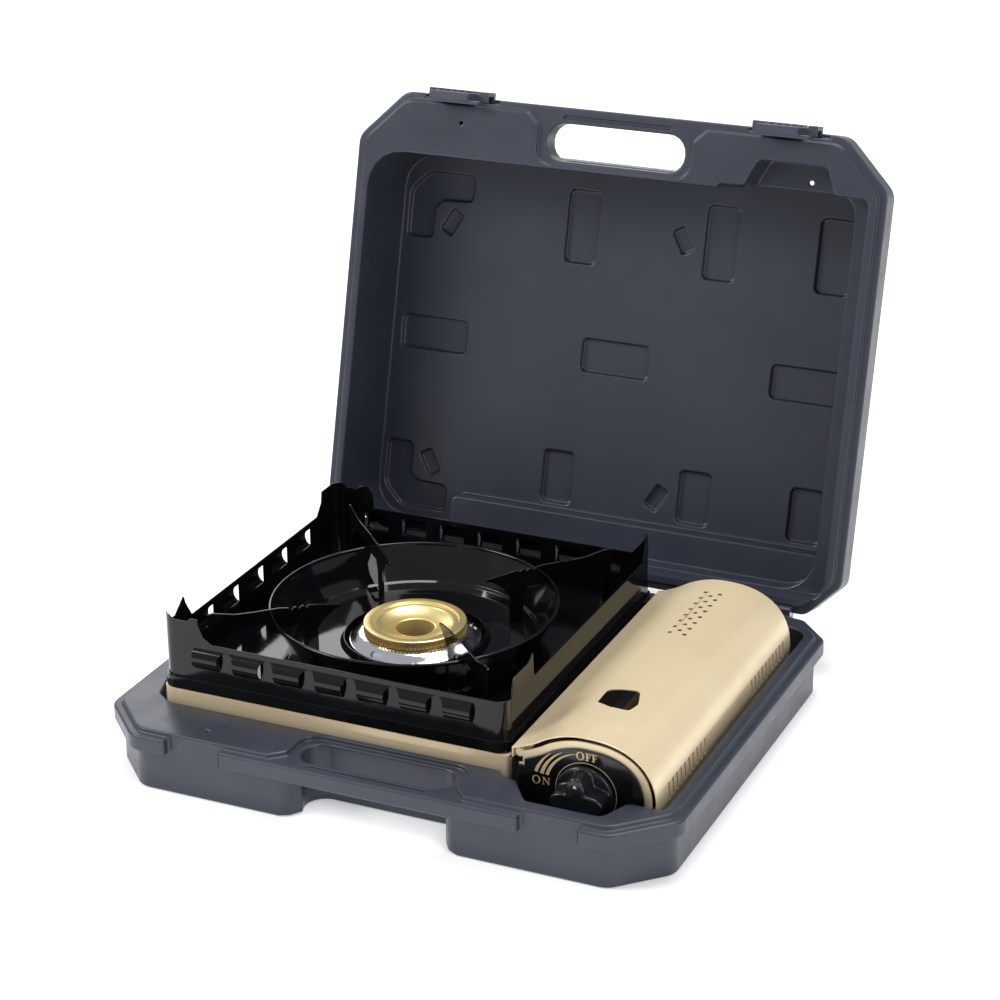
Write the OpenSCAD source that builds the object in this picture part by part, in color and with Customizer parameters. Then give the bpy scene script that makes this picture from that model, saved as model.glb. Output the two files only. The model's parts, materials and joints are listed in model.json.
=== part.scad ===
// Butane cassette stove resting in its open carry case.
// Origin: centre of the underside of the case. X right, Y to the hinge, Z up.

/* [Carry case] */
// Height of the base's deck above the table
base_h = 42; // [40:1:46]
// Deck to the left of the stove
deck_left = 30; // [26:1:40]
// Deck to the right of the stove
deck_right = 19; // [17:1:30]
// Deck in front of the stove, which holds the handle
deck_front = 47; // [46:1:56]
// Deck behind the stove, up to the hinge
deck_rear = 34.3; // [32:1:44]
// Wall of the moulded shells
case_wall = 3; // [2.4:0.2:3.4]
// Chamfer across each front corner
corner_front = 34; // [28:1:36]
// Chamfer across each rear corner
corner_rear = 23; // [18:1:24]
// How far the lip band stands out from the body
lip_out = 5.6; // [4:0.2:6]
// How far the lip lies below the deck
lip_drop = 3; // [2:0.5:4]
// Height of the lip band on the base
lip_h = 11; // [9.5:0.5:12]
// Depth of the lip band on the lid
lid_lip_h = 19; // [15:1:22]
// Depth of the lid's first step, behind the deck
lid_step = 31; // [30:1:36]
// Room between the tallest ear and the lid's floor
lid_clear = 5; // [3:0.5:10]
// Angle that the open lid stands at, from closed
lid_open = 105; // [96:1:110]
// Depth of the pads pressed into the lid's floor
pad_depth = 4; // [2:0.5:5]

/* [Handle and latches] */
// Length of the handle hole
handle_l = 102; // [90:1:110]
// Width of the handle hole
handle_hole_w = 26; // [22:1:27]
// Thickness of the handle's half in the lid
handle_lid_t = 20; // [17:1:24]
// Length of each latch
latch_l = 46; // [44:1:50]
// Travel of each latch
latch_travel = 8; // [6:0.5:9]
// Distance of each latch from the middle of the case
latch_x = 120; // [116:1:124]

/* [Stove body] */
// Outside width of the drip tray
tray_w = 239; // [230:1:250]
// Outside depth of the drip tray
tray_d = 237.5; // [230:1:250]
// Height of the pressed pan under the drip tray
pan_h = 43.8; // [42:0.2:46]
// Height of the cartridge side of the pan
pan_low_h = 25; // [22:1:27]
// Sheet metal thickness of the body
sheet = 1; // [0.8:0.1:1.2]
// Height of the rubber feet
foot_h = 3.5; // [3:0.5:5]
// Radius of the rubber feet
foot_r = 8; // [6:0.5:9]

/* [Windshield and trivet] */
// Sheet thickness of the enamelled tray
tray_sheet = 0.9; // [0.7:0.1:1.1]
// Height of the windshield walls above the tray's underside
wall_h = 33.8; // [31:0.2:36]
// Height of the corner ears above the walls
ear_h = 16; // [12:1:18]
// Posts between the louvres of the front and back walls
post_count = 6; // [4:1:6]
// Posts between the louvres of the left wall
side_post_count = 4; // [2:1:4]
// Width of a post
post_w = 11; // [9:0.5:12]
// Radius of the wind ring at its rim
ring_r = 95; // [92:1:98]
// Radius of the wind ring at its foot
ring_foot_r = 80; // [78:1:82]
// Height of the wind ring's rim above the tray floor
ring_h = 29; // [27:1:30]
// Thickness of the pan supports
support_t = 1.4; // [1.2:0.1:1.8]
// Distance from the burner's axis to a support's outer end
support_r = 139; // [132:1:142]

/* [Burner] */
// Radius of the brass burner cap
cap_r = 34; // [32:0.5:35]
// Radius of the cap's centre hole
cap_hole_r = 13.2; // [12:0.2:15]
// Flame ports round the cap
port_count = 38; // [30:1:44]
// Radius of the chrome cone at its foot
cone_r = 42.3; // [41:0.1:43]
// Radius of the mixing tube
tube_r = 9; // [8:0.5:10]

/* [Cartridge side] */
// Width of the cartridge cover
cover_w = 94; // [90:1:100]
// Length of the cartridge cover
cover_l = 242; // [238:1:246]
// Height of the arch above the pan's floor
arch_h = 70; // [68:0.5:72]
// Radius of the gas cartridge that fits
cartridge_r = 33.5; // [32:0.5:34]
// Furthest that the cover opens
cover_open = 62; // [45:1:65]
// Radius of the cover's hinge pins
hinge_pin_r = 1.5; // [1.2:0.1:1.8]
// Radius of the control knob
knob_r = 18.5; // [17:0.5:20]
// How far the knob stands out from the fascia
knob_h = 16; // [13:0.5:16.5]
// Turn of the knob from OFF to ON
knob_turn = 110; // [90:5:120]

/* [Hidden] */
$fn = 64;

eps = 0.01;
rest_gap = 0.3;      // clearance under a piece that rests on another body
run_gap = 0.05;      // radial clearance of a running pin
slide_gap = 0.3;     // clearance round a sliding piece
seam_gap = 0.4;      // clearance between the closed lid and base

// case
pan_margin = 1.6;    // pan beyond the tray walls
hinge_gap = 4.8;     // between the tray side and the cover
case_w = deck_left + tray_w + 2 * pan_margin + hinge_gap + cover_w + deck_right;
case_d = deck_front + tray_d + 2 * pan_margin + deck_rear;
front_y = -case_d / 2;
hinge_y = case_d / 2;
base_floor = case_wall + 0.2;
stove_z = base_floor + rest_gap;
body_inset = lip_out;
lip_top = base_h - lip_drop;
lip_z = lip_top - lip_h;

// stove
pan_l = -case_w / 2 + deck_left;
pan_f = front_y + deck_front;
pan_r = pan_l + tray_w + 2 * pan_margin;
pan_b = pan_f + tray_d + 2 * pan_margin;
burner_x = (pan_l + pan_r) / 2;
burner_y = (pan_f + pan_b) / 2;
pan_z = stove_z + foot_h;
pan_top = pan_z + pan_h;
tray_z = pan_top + rest_gap;
tray_top = tray_z + tray_sheet;
wall_top = tray_z + wall_h;
ear_top = wall_top + ear_h;
tray_l = burner_x - tray_w / 2;
tray_r = burner_x + tray_w / 2;
tray_f = burner_y - tray_d / 2;
tray_b = burner_y + tray_d / 2;
bead_d = 4.4;        // how far the louvres stand out

// cover
cover_x0 = pan_r + hinge_gap;
cover_x1 = cover_x0 + cover_w;
cover_y0 = burner_y - cover_l / 2 - 5;
cover_y1 = cover_y0 + cover_l;
cover_z0 = pan_z + pan_low_h + rest_gap;
cover_top = pan_z + arch_h;
cover_hinge_x = cover_x0 + 4.5;
cover_hinge_z = pan_top + 6.7;
cover_nest = 3;      // room between the cover and the panels under it
arch_cx = cover_x0 + cover_w / 2;
rear_screw_x = [arch_cx - 28, arch_cx + 28];
panel_t = 1.5;
panel_y = cover_y0 + 1.5;
rear_y0 = cover_y1 - 2.5 - panel_t;
fascia_t = 2;
fascia_y = panel_y - fascia_t;
axis_x = cover_x0 + 48.5;
cartridge_z = pan_z + sheet + 1.6 + cartridge_r;
knob_z = pan_z + 33.6;
knob_gap = 0.6;
knob_y = fascia_y - knob_gap;

// controls and gas line
cam_y = panel_y + panel_t + 6;
cam_w = 6;
cam_r = 8;
plunger_travel = 4;
reg_y0 = cam_y + cam_w + 2;
reg_y1 = reg_y0 + 28;
reg_z = pan_z + 37.5;
pipe_r = 2.5;
pipe_bend = 9;
pipe_y = (reg_y0 + reg_y1) / 2;
pipe_z = reg_z - 8;
pipe_x = pan_r - 14;
jet_reach = 23;      // from the pipe's last bend to the back of the jet
jet_x = pipe_x - jet_reach;

// burner
bowl_r = 30;
bowl_z0 = pipe_z - tube_r - 1.5;
cone_z = tray_top + 2.2;
bowl_top = cone_z;
cap_z = cone_z + 6.2;
cap_h = 6.2;

// lid
lid_depth = ear_top + lid_clear - base_h - seam_gap;
lid_floor = pad_depth + case_wall;
lid_h = lid_depth + lid_floor;

function unit(v) = v / norm(v);
function bend(a, b, c, r, n) =
    let (u = unit(a - b), v = unit(c - b), half = acos(u * v) / 2,
        mid = b + unit(u + v) * r / sin(half),
        p = b + u * r / tan(half) - mid, q = b + v * r / tan(half) - mid,
        from = atan2(p.y, p.x), turn = (atan2(q.y, q.x) - from + 540) % 360 - 180)
    [for (i = [0:n]) mid + r * [cos(from + turn * i / n), sin(from + turn * i / n)]];
// outline with each corner rounded: r is one radius, or a list with one for each corner
function rounded(p, r, n = 5) =
    [for (i = [0:len(p) - 1])
        let (k = len(p), own = is_list(r) ? r[i] : r)
        each (own == 0 ? [p[i]] : bend(p[(i + k - 1) % k], p[i], p[(i + 1) % k], own, n))];
function oblong(x0, x1, y0, y1, r) =
    rounded([[x0, y0], [x1, y0], [x1, y1], [x0, y1]], r);

module plate(points, z0, z1) {
    translate([0, 0, z0]) linear_extrude(z1 - z0) polygon(points);
}
module box(x0, x1, y0, y1, z0, z1) {
    translate([x0, y0, z0]) cube([x1 - x0, y1 - y0, z1 - z0]);
}
module rod_x(x0, x1, y, z, r) {
    translate([x0, y, z]) rotate([0, 90, 0]) cylinder(h = x1 - x0, r = r);
}
module rod_y(x, y0, y1, z, r) {
    translate([x, y1, z]) rotate([90, 0, 0]) cylinder(h = y1 - y0, r = r);
}
module rod_z(x, y, z0, z1, r) {
    translate([x, y, z0]) cylinder(h = z1 - z0, r = r);
}
// outline drawn in X and Z, pulled from y0 to y1
module slab_y(points, y0, y1) {
    translate([0, y1, 0]) rotate([90, 0, 0]) linear_extrude(y1 - y0) polygon(points);
}
// outline drawn in Y and Z, pulled from x0 to x1
module slab_x(points, x0, x1) {
    translate([x0, 0, 0]) rotate([90, 0, 90]) linear_extrude(x1 - x0) polygon(points);
}

// ---- carry case ----
function case_outline(inset) =
    let (w = case_w / 2 - inset, d = case_d / 2 - inset, cut = inset * (2 - sqrt(2)),
        f = corner_front - cut, b = corner_rear - cut)
    rounded([[-w + f, -d], [w - f, -d], [w, -d + f], [w, d - b],
        [w - b, d], [-w + b, d], [-w, d - b], [-w, -d + f]],
        [14, 14, 14, 10, 10, 10, 10, 14]);

pocket_l = pan_l - 10;
cover_swing = 6;     // room for the cover's edge to swing out as it opens
pocket_r = cover_x1 + cover_swing;
pocket_f = pan_f - 2.5;
pocket_b = pan_b + 14;
bay_l = axis_x - 29;
bay_r = axis_x + 20;
bay_front = knob_y - knob_h - 8;
// where the stove lies: the tray's rectangle and the bay for the control end
function pocket_outline(front) =
    rounded([[pocket_l, pocket_f + 24], [pocket_l + 5, pocket_f + 8], [pocket_l + 16, pocket_f],
        [pan_r - 4, pocket_f], [pan_r - 2, cover_y0 - 1.5], [cover_x0 + 5, cover_y0 - 5],
        [bay_l, front], [bay_r, front], [bay_r + 8, cover_y0 - 4], [pocket_r, cover_y0 - 4],
        [pocket_r, pocket_b], [pocket_l, pocket_b]],
        [5, 5, 5, 1, 1, 4, 6, 6, 6, 5, 12, 12]);

handle_y = front_y + 24;
bar_z = lip_z - 3;
// sunk field round the handle hole, open to the front edge
function handle_field() =
    rounded([[-handle_l / 2 - 25, front_y - 1], [-handle_l / 2 - 14, front_y + body_inset + 1],
        [-handle_l / 2 - 6, front_y + 14], [-handle_l / 2 - 6, pocket_f - 4],
        [handle_l / 2 + 6, pocket_f - 4], [handle_l / 2 + 6, front_y + 14],
        [handle_l / 2 + 14, front_y + body_inset + 1], [handle_l / 2 + 25, front_y - 1]],
        [0, 4, 5, 12, 12, 5, 4, 0]);
function handle_hole(grow) =
    oblong(-handle_l / 2 - grow, handle_l / 2 + grow,
        handle_y - handle_hole_w / 2 - grow, handle_y + handle_hole_w / 2 + grow,
        handle_hole_w / 2 + grow - 0.5);
// hollow for the fingers under the handle bar
function finger_hollow() =
    rounded([[-handle_l / 2 - 22, front_y - 1], [-handle_l / 2 - 3, front_y + 9],
        [-handle_l / 2 + 10, handle_y + 4], [handle_l / 2 - 10, handle_y + 4],
        [handle_l / 2 + 3, front_y + 9], [handle_l / 2 + 22, front_y - 1]],
        [0, 8, 14, 14, 8, 0]);

knuckle_r = 5;
knuckle_l = 14;
case_pin_r = 2;
hinge_at = [for (side = [-1, 1]) side * (case_w / 2 - corner_rear - 30)];
hinge_z = base_h;
pin_out = knuckle_l * 1.5 + 1;

tongue_h = 4;
tongue_z = lip_z + 4;
latch_at = [-latch_x - 1, latch_x - 1];
gap_l = latch_l / 2 - 7;     // base's gap, left and right of the latch's middle
gap_r = latch_l / 2;

module case_base() {
    color([0.22, 0.23, 0.26]) difference() {
        union() {
            plate(case_outline(body_inset), 0, base_h);
            plate(case_outline(0), lip_z, lip_top);
            // outer knuckles of each hinge
            for (x = hinge_at, side = [-1, 1])
                base_knuckle(x + side * (knuckle_l + slide_gap));
        }
        plate(pocket_outline(bay_front), base_floor, base_h + 1);
        plate(handle_field(), lip_top, base_h + 1);
        plate(handle_hole(0), -1, base_h + 1);
        plate(finger_hollow(), -1, bar_z);
        // grip groove on top of the bar
        plate(oblong(-40, 40, front_y + 5.5, front_y + 8, 1.2), lip_top - 1.5, base_h);
        // gaps in the lip for the latches, and the slots that their tongues enter
        for (x = latch_at) {
            box(x - gap_l, x + gap_r, front_y - 1, front_y + body_inset, lip_z - 1, lip_top + 1);
            box(x + gap_r - 1, x + gap_r + latch_travel + 2, front_y + 1.5, front_y + body_inset - 0.2,
                tongue_z - 1, tongue_z + tongue_h + 1);
        }
        // room for the lid's middle knuckles
        for (x = hinge_at)
            lid_knuckle_room(x);
        for (x = hinge_at)
            rod_x(x - pin_out, x + pin_out, hinge_y, hinge_z, case_pin_r + run_gap);
        // hollow front corner with its small vent hole
        front_core(base_floor, lip_z, pocket_f - case_wall);
        rod_z(-case_w / 4 - 18, front_y + 18, lip_z - 1, base_h + 1, 1.2);
    }
}
module base_knuckle(x) {
    difference() {
        union() {
            rod_x(x - knuckle_l / 2, x + knuckle_l / 2, hinge_y, hinge_z, knuckle_r);
            box(x - knuckle_l / 2, x + knuckle_l / 2, hinge_y - 9, hinge_y, hinge_z - knuckle_r, hinge_z);
            box(x - knuckle_l / 2, x + knuckle_l / 2, hinge_y - body_inset - 1, hinge_y + knuckle_r - 1,
                hinge_z - 16, hinge_z - 2);
        }
        box(x - knuckle_l, x + knuckle_l, hinge_y - 20, hinge_y - 3.2, base_h, base_h + 10);
    }
}
module lid_knuckle_room(x) {
    rod_x(x - knuckle_l / 2 - slide_gap, x + knuckle_l / 2 + slide_gap, hinge_y, hinge_z,
        knuckle_r + 0.8);
}
module front_core(z0, z1, y1) {
    box(-case_w / 2 + corner_front + 3, -handle_l / 2 - 25, front_y + body_inset + case_wall, y1, z0, z1);
}

// The lid is drawn closed, with its deck down at z = 0, then hung on the hinge.
module hang_lid() {
    translate([0, hinge_y, hinge_z]) rotate([-lid_open, 0, 0])
        translate([0, -hinge_y, seam_gap + base_h - hinge_z]) children();
}
cavity_l = pocket_l - 9;
cavity_r = pocket_r + 1;
cavity_f = tray_f - bead_d - 1.5;
cavity_b = hinge_y - 10;
cover_front = cover_y0 - 1.7;
lid_bay_front = bay_front + 5;
high_r = cover_x1 - 9;
high_b = hinge_y - 11;
function cavity_low() =
    rounded([[cavity_l, cavity_f], [cover_x0 - 6, cavity_f], [cover_x0 - 3, cover_front],
        [bay_l - 6, cover_front], [bay_l + 3, lid_bay_front], [bay_r + 2, lid_bay_front],
        [bay_r + 9, cover_front], [cavity_r, cover_front], [cavity_r, cavity_b], [cavity_l, cavity_b]],
        [26, 1, 1, 4, 5, 5, 4, 5, 14, 14]);
function cavity_high() =
    rounded([[cavity_l, cavity_f], [cover_x0 - 6, cavity_f], [cover_x0 - 3, cover_front],
        [high_r, cover_front], [high_r, high_b], [cavity_l, high_b]], [26, 1, 1, 14, 24, 24]);
function lid_back_outline() =
    let (l = cavity_l - case_wall, r = high_r + case_wall, f = cover_front - case_wall, b = hinge_y - 7)
    rounded([[l, f], [r, f], [r, b], [l, b]], [27, 16, 27, 27]);

pad_w = 24;
pad_l = 52;
pad_row_f = cavity_f + 15;
pad_row_b = tray_b - 40;
pad_short = 38;
module floor_pads(z0, z1) {
    // upright pads of the front and rear rows
    for (x = [burner_x + 2, burner_x + 107, high_r - 21], row = [[pad_row_f, pad_l], [pad_row_b, pad_short]])
        plate(oblong(x - pad_w / 2, x + pad_w / 2, row[0], row[0] + row[1], 4), z0, z1);
    // level pads of the middle row
    for (x = [cavity_l + 34, burner_x + 37, high_r - 31])
        plate(oblong(x - pad_l / 2, x + pad_l / 2, burner_y - 5, burner_y + pad_w - 5, 4), z0, z1);
    // bent pads in the two left corners
    bent_pad(pad_row_f - 1, 1, z0, z1);
    bent_pad(high_b - 7, -1, z0, z1);
    // small slanted pads
    for (p = [[cavity_l + 40, cavity_f + 49, 30], [burner_x + 79, cavity_f + 42, -30],
            [cavity_l + 40, high_b - 42, -30], [burner_x + 79, high_b - 42, 30]])
        translate([p.x, p.y, 0]) rotate([0, 0, p.z])
            plate(oblong(-5, 5, -9, 9, 2), z0, z1);
}
module bent_pad(y, turn, z0, z1) {
    x = cavity_l + 5;
    plate(rounded([[x, y + turn * 14], [x + 14, y], [x + 50, y], [x + 50, y + turn * 19],
        [x + 26, y + turn * 20], [x + 20, y + turn * 26], [x + 20, y + turn * 48], [x, y + turn * 48]],
        [12, 12, 4, 4, 5, 5, 4, 4]), z0, z1);
}
shelf_l = burner_x - 73;
shelf_depth = wall_top + 4 - base_h;
module case_lid() {
    color([0.22, 0.23, 0.26]) hang_lid() difference() {
        union() {
            difference() {
                union() {
                    plate(case_outline(body_inset), 0, lid_step);
                    plate(case_outline(0), lip_drop, lip_drop + lid_lip_h);
                    plate(lid_back_outline(), lid_step - 1, lid_h);
                }
                plate(cavity_low(), -1, lid_step - case_wall);
                plate(cavity_high(), lid_step - case_wall - 1, lid_depth);
            }
            // raised shelf along the hinge side, over the low back of the stove
            plate(oblong(shelf_l, high_r + 1, tray_b + 2, high_b + 1, 5), shelf_depth, lid_depth + 1);
            // middle knuckle of each hinge
            for (x = hinge_at) lid_knuckle(x);
            // rails that the latches slide on
            for (x = latch_at) latch_rail(x);
        }
        floor_pads(lid_depth - eps, lid_depth + pad_depth);
        plate(handle_field(), -1, lip_drop);
        plate(handle_field(), handle_lid_t, lid_step + 1);
        plate(handle_hole(0), -1, lid_step + 1);
        plate(oblong(-40, 40, front_y + 5.5, front_y + 8, 1.2), lip_drop - 1, lip_drop + 1.5);
        for (x = hinge_at) {
            rod_x(x - pin_out, x + pin_out, hinge_y, hinge_z - base_h - seam_gap, case_pin_r + run_gap);
            for (side = [-1, 1])
                base_knuckle_room(x + side * (knuckle_l + slide_gap));
        }
        // recess behind each latch
        for (x = latch_at)
            difference() {
                box(x - latch_l / 2 - 1, x + latch_l / 2 + latch_travel + 1, front_y - 1, front_y + 3,
                    -1, latch_top + slide_gap);
                latch_rail(x);
            }
        // hollow front corner with its small vent hole, and a drain in the knob's bay
        front_core(case_wall + 3, lid_step - case_wall, cavity_f - case_wall);
        rod_z(-case_w / 4 - 18, front_y + 18, -1, case_wall + 4, 1.2);
        rod_z(axis_x + 4, cover_front - 6, lid_step - case_wall - 1, lid_step + 1, 1.5);
    }
}
module lid_knuckle(x) {
    z = hinge_z - base_h - seam_gap;
    rod_x(x - knuckle_l / 2, x + knuckle_l / 2, hinge_y, z, knuckle_r);
    box(x - knuckle_l / 2, x + knuckle_l / 2, hinge_y - 4, hinge_y + knuckle_r, z, z + 14);
}
module base_knuckle_room(x) {
    rod_x(x - knuckle_l / 2 - slide_gap, x + knuckle_l / 2 + slide_gap, hinge_y,
        hinge_z - base_h - seam_gap, knuckle_r + 0.8);
}
module case_hinge_pins() {
    color("silver") for (x = hinge_at)
        rod_x(x - pin_out + 0.5, x + pin_out - 0.5, hinge_y, hinge_z, case_pin_r);
}

latch_top = 17;
rail_z = 7;
rail_h = 5;
latch_back = 3;      // depth of the recess behind a latch
module latch_rail(x) {
    box(x - 9, x + 9 + latch_travel, front_y + 0.4, front_y + latch_back + 0.5, rail_z, rail_z + rail_h);
    box(x - 9, x + 9 + latch_travel, front_y - 1.2, front_y + 0.9, rail_z - 1, rail_z + rail_h + 1);
}
module latch(x) {
    z_tongue = tongue_z - base_h - seam_gap;
    color([0.27, 0.28, 0.31]) hang_lid() difference() {
        union() {
            box(x - latch_l / 2, x + latch_l / 2, front_y - 3, front_y + latch_back - slide_gap, lip_drop + 1, latch_top);
            // skirt that hangs into the gap of the base's lip
            box(x - gap_l + 1, x + gap_r - latch_travel - 1, front_y - 3, front_y + latch_back - slide_gap,
                z_tongue - 1, lip_drop + 1.5);
            // tongue that enters the slot in the lip
            box(x - gap_l + 2, x + gap_r - 1, front_y + 2, front_y + body_inset - 1,
                z_tongue, z_tongue + tongue_h - 0.5);
            // finger ribs and end block
            for (i = [0:6])
                box(x - latch_l / 2 + i * 5.4, x - latch_l / 2 + i * 5.4 + 2.6, front_y - 4.6, front_y - 2.9,
                    lip_drop + 1, latch_top);
            box(x + latch_l / 2 - 7, x + latch_l / 2, front_y - 4.6, front_y - 2.9, lip_drop + 1, latch_top);
        }
        // T slot for the rail
        box(x - latch_l / 2 - 1, x + latch_l / 2 + 1, front_y + 0.9 - eps, front_y + latch_back + 1,
            rail_z - slide_gap, rail_z + rail_h + slide_gap);
        box(x - latch_l / 2 - 1, x + latch_l / 2 + 1, front_y - 1.2 - slide_gap, front_y + 0.9 + slide_gap,
            rail_z - 1 - slide_gap, rail_z + rail_h + 1 + slide_gap);
    }
}
module latch_left() { latch(latch_at[0]); }
module latch_right() { latch(latch_at[1]); }

// ---- stove body ----
function pan_outline(inset) =
    rounded([[pan_l + inset, pan_f + inset], [pan_r - inset, pan_f + inset],
        [pan_r - inset, pan_b - inset], [pan_l + inset, pan_b - inset]], [7, 2, 2, 7]);
module body_pan() {
    low_top = pan_z + pan_low_h;
    color([0.83, 0.70, 0.47]) difference() {
        union() {
            difference() {
                plate(pan_outline(0), pan_z, pan_top);
                plate(pan_outline(sheet), pan_z + sheet, pan_top - sheet);
                plate(pan_outline(9), pan_z + sheet, pan_top + 1);
            }
            // cartridge side, with a turned-in edge that the cover rests over
            difference() {
                box(pan_r - sheet, cover_x1, panel_y + panel_t, rear_y0, pan_z, low_top);
                box(pan_r - 2 * sheet, cover_x1 - sheet, panel_y + panel_t - 1, rear_y0 + 1,
                    pan_z + sheet, low_top - sheet);
                box(pan_r - 2 * sheet, cover_x1 - 7, panel_y + panel_t - 1, rear_y0 + 1,
                    pan_z + sheet, low_top + 1);
            }
            box(pan_r - sheet, pan_r, panel_y + panel_t, rear_y0, pan_z, low_top);
            // tabs that the rear panel is screwed to
            for (x = rear_screw_x)
                box(x - 5, x + 5, rear_y0 - 1.5, rear_y0, pan_z + sheet / 2, pan_z + 16);
        }
        // way through for the pipe and lead
        box(pan_r - 5, pan_r + 1, pipe_y - 9, pipe_y + 7, pan_z + 6, pan_top - 4);
        // air openings in the floor under the burner
        for (i = [-2:2])
            plate(oblong(burner_x + i * 16 - 3, burner_x + i * 16 + 3, burner_y + 52, burner_y + 88, 2.9),
                pan_z - 1, pan_z + sheet + 1);
        for (p = foot_at) rod_z(p.x, p.y, pan_z - 1, pan_z + sheet + 1, 2 + run_gap);
        for (x = rear_screw_x) rod_y(x, rear_y0 - 3, rear_y0 + 1, pan_z + 10, 1.5 + run_gap);
    }
}
foot_in = 20;
foot_at = [[pan_l + foot_in, pan_f + 22], [pan_l + foot_in, pan_b - 26],
    [cover_x1 - foot_in, cover_y0 + 28], [cover_x1 - foot_in, cover_y1 - 22]];
module rubber_feet() {
    color([0.1, 0.1, 0.1]) for (p = foot_at) difference() {
        rod_z(p.x, p.y, stove_z, pan_z, foot_r);
        rod_z(p.x, p.y, stove_z - 1, stove_z + 1.5, 4);
        rod_z(p.x, p.y, stove_z - 1, pan_z + 1, 2 + run_gap);
    }
}
module foot_screws() {
    color("silver") for (p = foot_at) {
        rod_z(p.x, p.y, stove_z + 0.6, stove_z + 1.5, 3.6);
        rod_z(p.x, p.y, stove_z + 0.6, pan_z + sheet + 3, 2);
        rod_z(p.x, p.y, pan_z + sheet, pan_z + sheet + 2.4, 3.4);
    }
}

// Height of the arch's outer face at x, from the crease to the right flank
arch_crease = cover_x0 + 21.5;
arch_peak_x = cover_x0 + 47;
arch_low_z = pan_z + 29;
function arch_right(t) =
    // superellipse from the peak (t = 90) down to the flank (t = 0)
    [arch_peak_x + (cover_x1 - arch_peak_x) * pow(cos(t), 0.83),
        arch_low_z + (cover_top - arch_low_z) * pow(sin(t), 0.83)];
function arch_left(t) =
    // from the crease (t = 0) to the peak (t = 1)
    [arch_crease + (arch_peak_x - arch_crease) * t,
        cover_top - 6.3 * pow(1 - t, 2)];
function flare(t) =
    // concave stretch from the hinge lip (t = 0) to the crease (t = 1)
    let (z0 = cover_hinge_z + 3.5, z1 = cover_top - 6.3)
    [cover_x0 + (arch_crease - cover_x0) * t, z0 + (z1 - z0) * (0.55 * t + 0.45 * t * t)];
// closed outline of the arch, shrunk by g and cut off level at z0
function arch_outline(g, z0) =
    let (skin = [for (i = [0:4]) flare(i / 4), for (i = [1:6]) arch_left(i / 6),
            for (i = [1:15]) arch_right(90 - i * 6)],
        k = len(skin) - 1)
    concat([[cover_x0 + g, z0]],
        [for (i = [0:k])
            let (d = unit(skin[min(i + 1, k)] - skin[max(i - 1, 0)]))
            i == 0 ? [cover_x0 + g, skin[0].y - g] :
            i == k ? [cover_x1 - g, skin[k].y] : skin[i] + g * [d.y, -d.x]],
        [[cover_x1 - g, z0]]);

boss_r = 2.8;
// end panel: full width below, arched above, cut away where the cover's lip swings
module end_panel(y0) {
    difference() {
        union() {
            slab_y(arch_outline(cover_nest + sheet, pan_z), y0, y0 + panel_t);
            box(pan_r + slide_gap, cover_x1, y0, y0 + panel_t, pan_z, pan_z + pan_low_h);
        }
        difference() {
            rod_y(cover_hinge_x, y0 - 1, y0 + panel_t + 1, cover_hinge_z, 6.6);
            rod_y(cover_hinge_x, y0 - 2, y0 + panel_t + 2, cover_hinge_z, boss_r);
            box(cover_hinge_x, cover_hinge_x + 9, y0 - 2, y0 + panel_t + 2, cover_hinge_z - 1, cover_hinge_z + 9);
            box(cover_hinge_x + 2, cover_hinge_x + 9, y0 - 2, y0 + panel_t + 2, cover_hinge_z - 9, cover_hinge_z);
        }
    }
}
module front_panel() {
    color([0.83, 0.70, 0.47]) difference() {
        union() {
            end_panel(panel_y);
            // boss that carries the front hinge pin
            rod_y(cover_hinge_x, panel_y, panel_y + 3.5, cover_hinge_z, boss_r);
        }
        rod_y(axis_x, panel_y - 1, panel_y + 10, knob_z, 7);
        for (x = fascia_screw_x) rod_y(x, panel_y - 1, panel_y + 5, fascia_screw_z, 1.2 + run_gap);
        rod_y(cover_hinge_x, panel_y + 1.2, panel_y + 5, cover_hinge_z, hinge_pin_r + run_gap);
    }
}
module rear_panel() {
    y1 = rear_y0 + panel_t;
    color([0.83, 0.70, 0.47]) difference() {
        union() {
            end_panel(rear_y0);
            rod_y(cover_hinge_x, y1 - 3.5, y1, cover_hinge_z, boss_r);
        }
        rod_y(cover_hinge_x, y1 - 5, y1 - 1.2, cover_hinge_z, hinge_pin_r + run_gap);
        // air slots
        for (i = [-3:3])
            slab_y(oblong(arch_cx + i * 9 - 1.5, arch_cx + i * 9 + 1.5, pan_z + 34, pan_z + 52, 1.4),
                y1 - 5, y1 + 1);
        for (x = rear_screw_x) rod_y(x, y1 - 3, y1 + 1, pan_z + 10, 1.5 + run_gap);
    }
}
module rear_panel_screws() {
    y1 = rear_y0 + panel_t;
    color("silver") for (x = rear_screw_x) {
        rod_y(x, y1, y1 + 1.2, pan_z + 10, 2.8);
        rod_y(x, y1 - 6, y1 + 0.1, pan_z + 10, 1.5);
    }
}

fascia_rim = 4.5;
fascia_screw_x = [axis_x - 34, axis_x + 26];
fascia_screw_z = pan_z + 14;
module control_fascia() {
    color([0.05, 0.05, 0.05]) difference() {
        union() {
            slab_y(arch_outline(cover_nest + sheet + fascia_rim, pan_z + 6), fascia_y, panel_y);
            // lower left, below the way of the cover's lip
            box(cover_x0 + cover_nest + sheet + 0.4, axis_x, fascia_y, panel_y, pan_z + 6, cover_hinge_z - 7.5);
        }
        rod_y(axis_x, fascia_y - 1, panel_y + 1, knob_z, 7);
        for (x = fascia_screw_x) rod_y(x, fascia_y - 1, panel_y + 1, fascia_screw_z, 1.2 + run_gap);
    }
}
module fascia_screws() {
    color("silver") for (x = fascia_screw_x) {
        rod_y(x, fascia_y - 1, fascia_y, fascia_screw_z, 2.4);
        rod_y(x, fascia_y - 0.1, panel_y + 6, fascia_screw_z, 1.2);
    }
}

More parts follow.
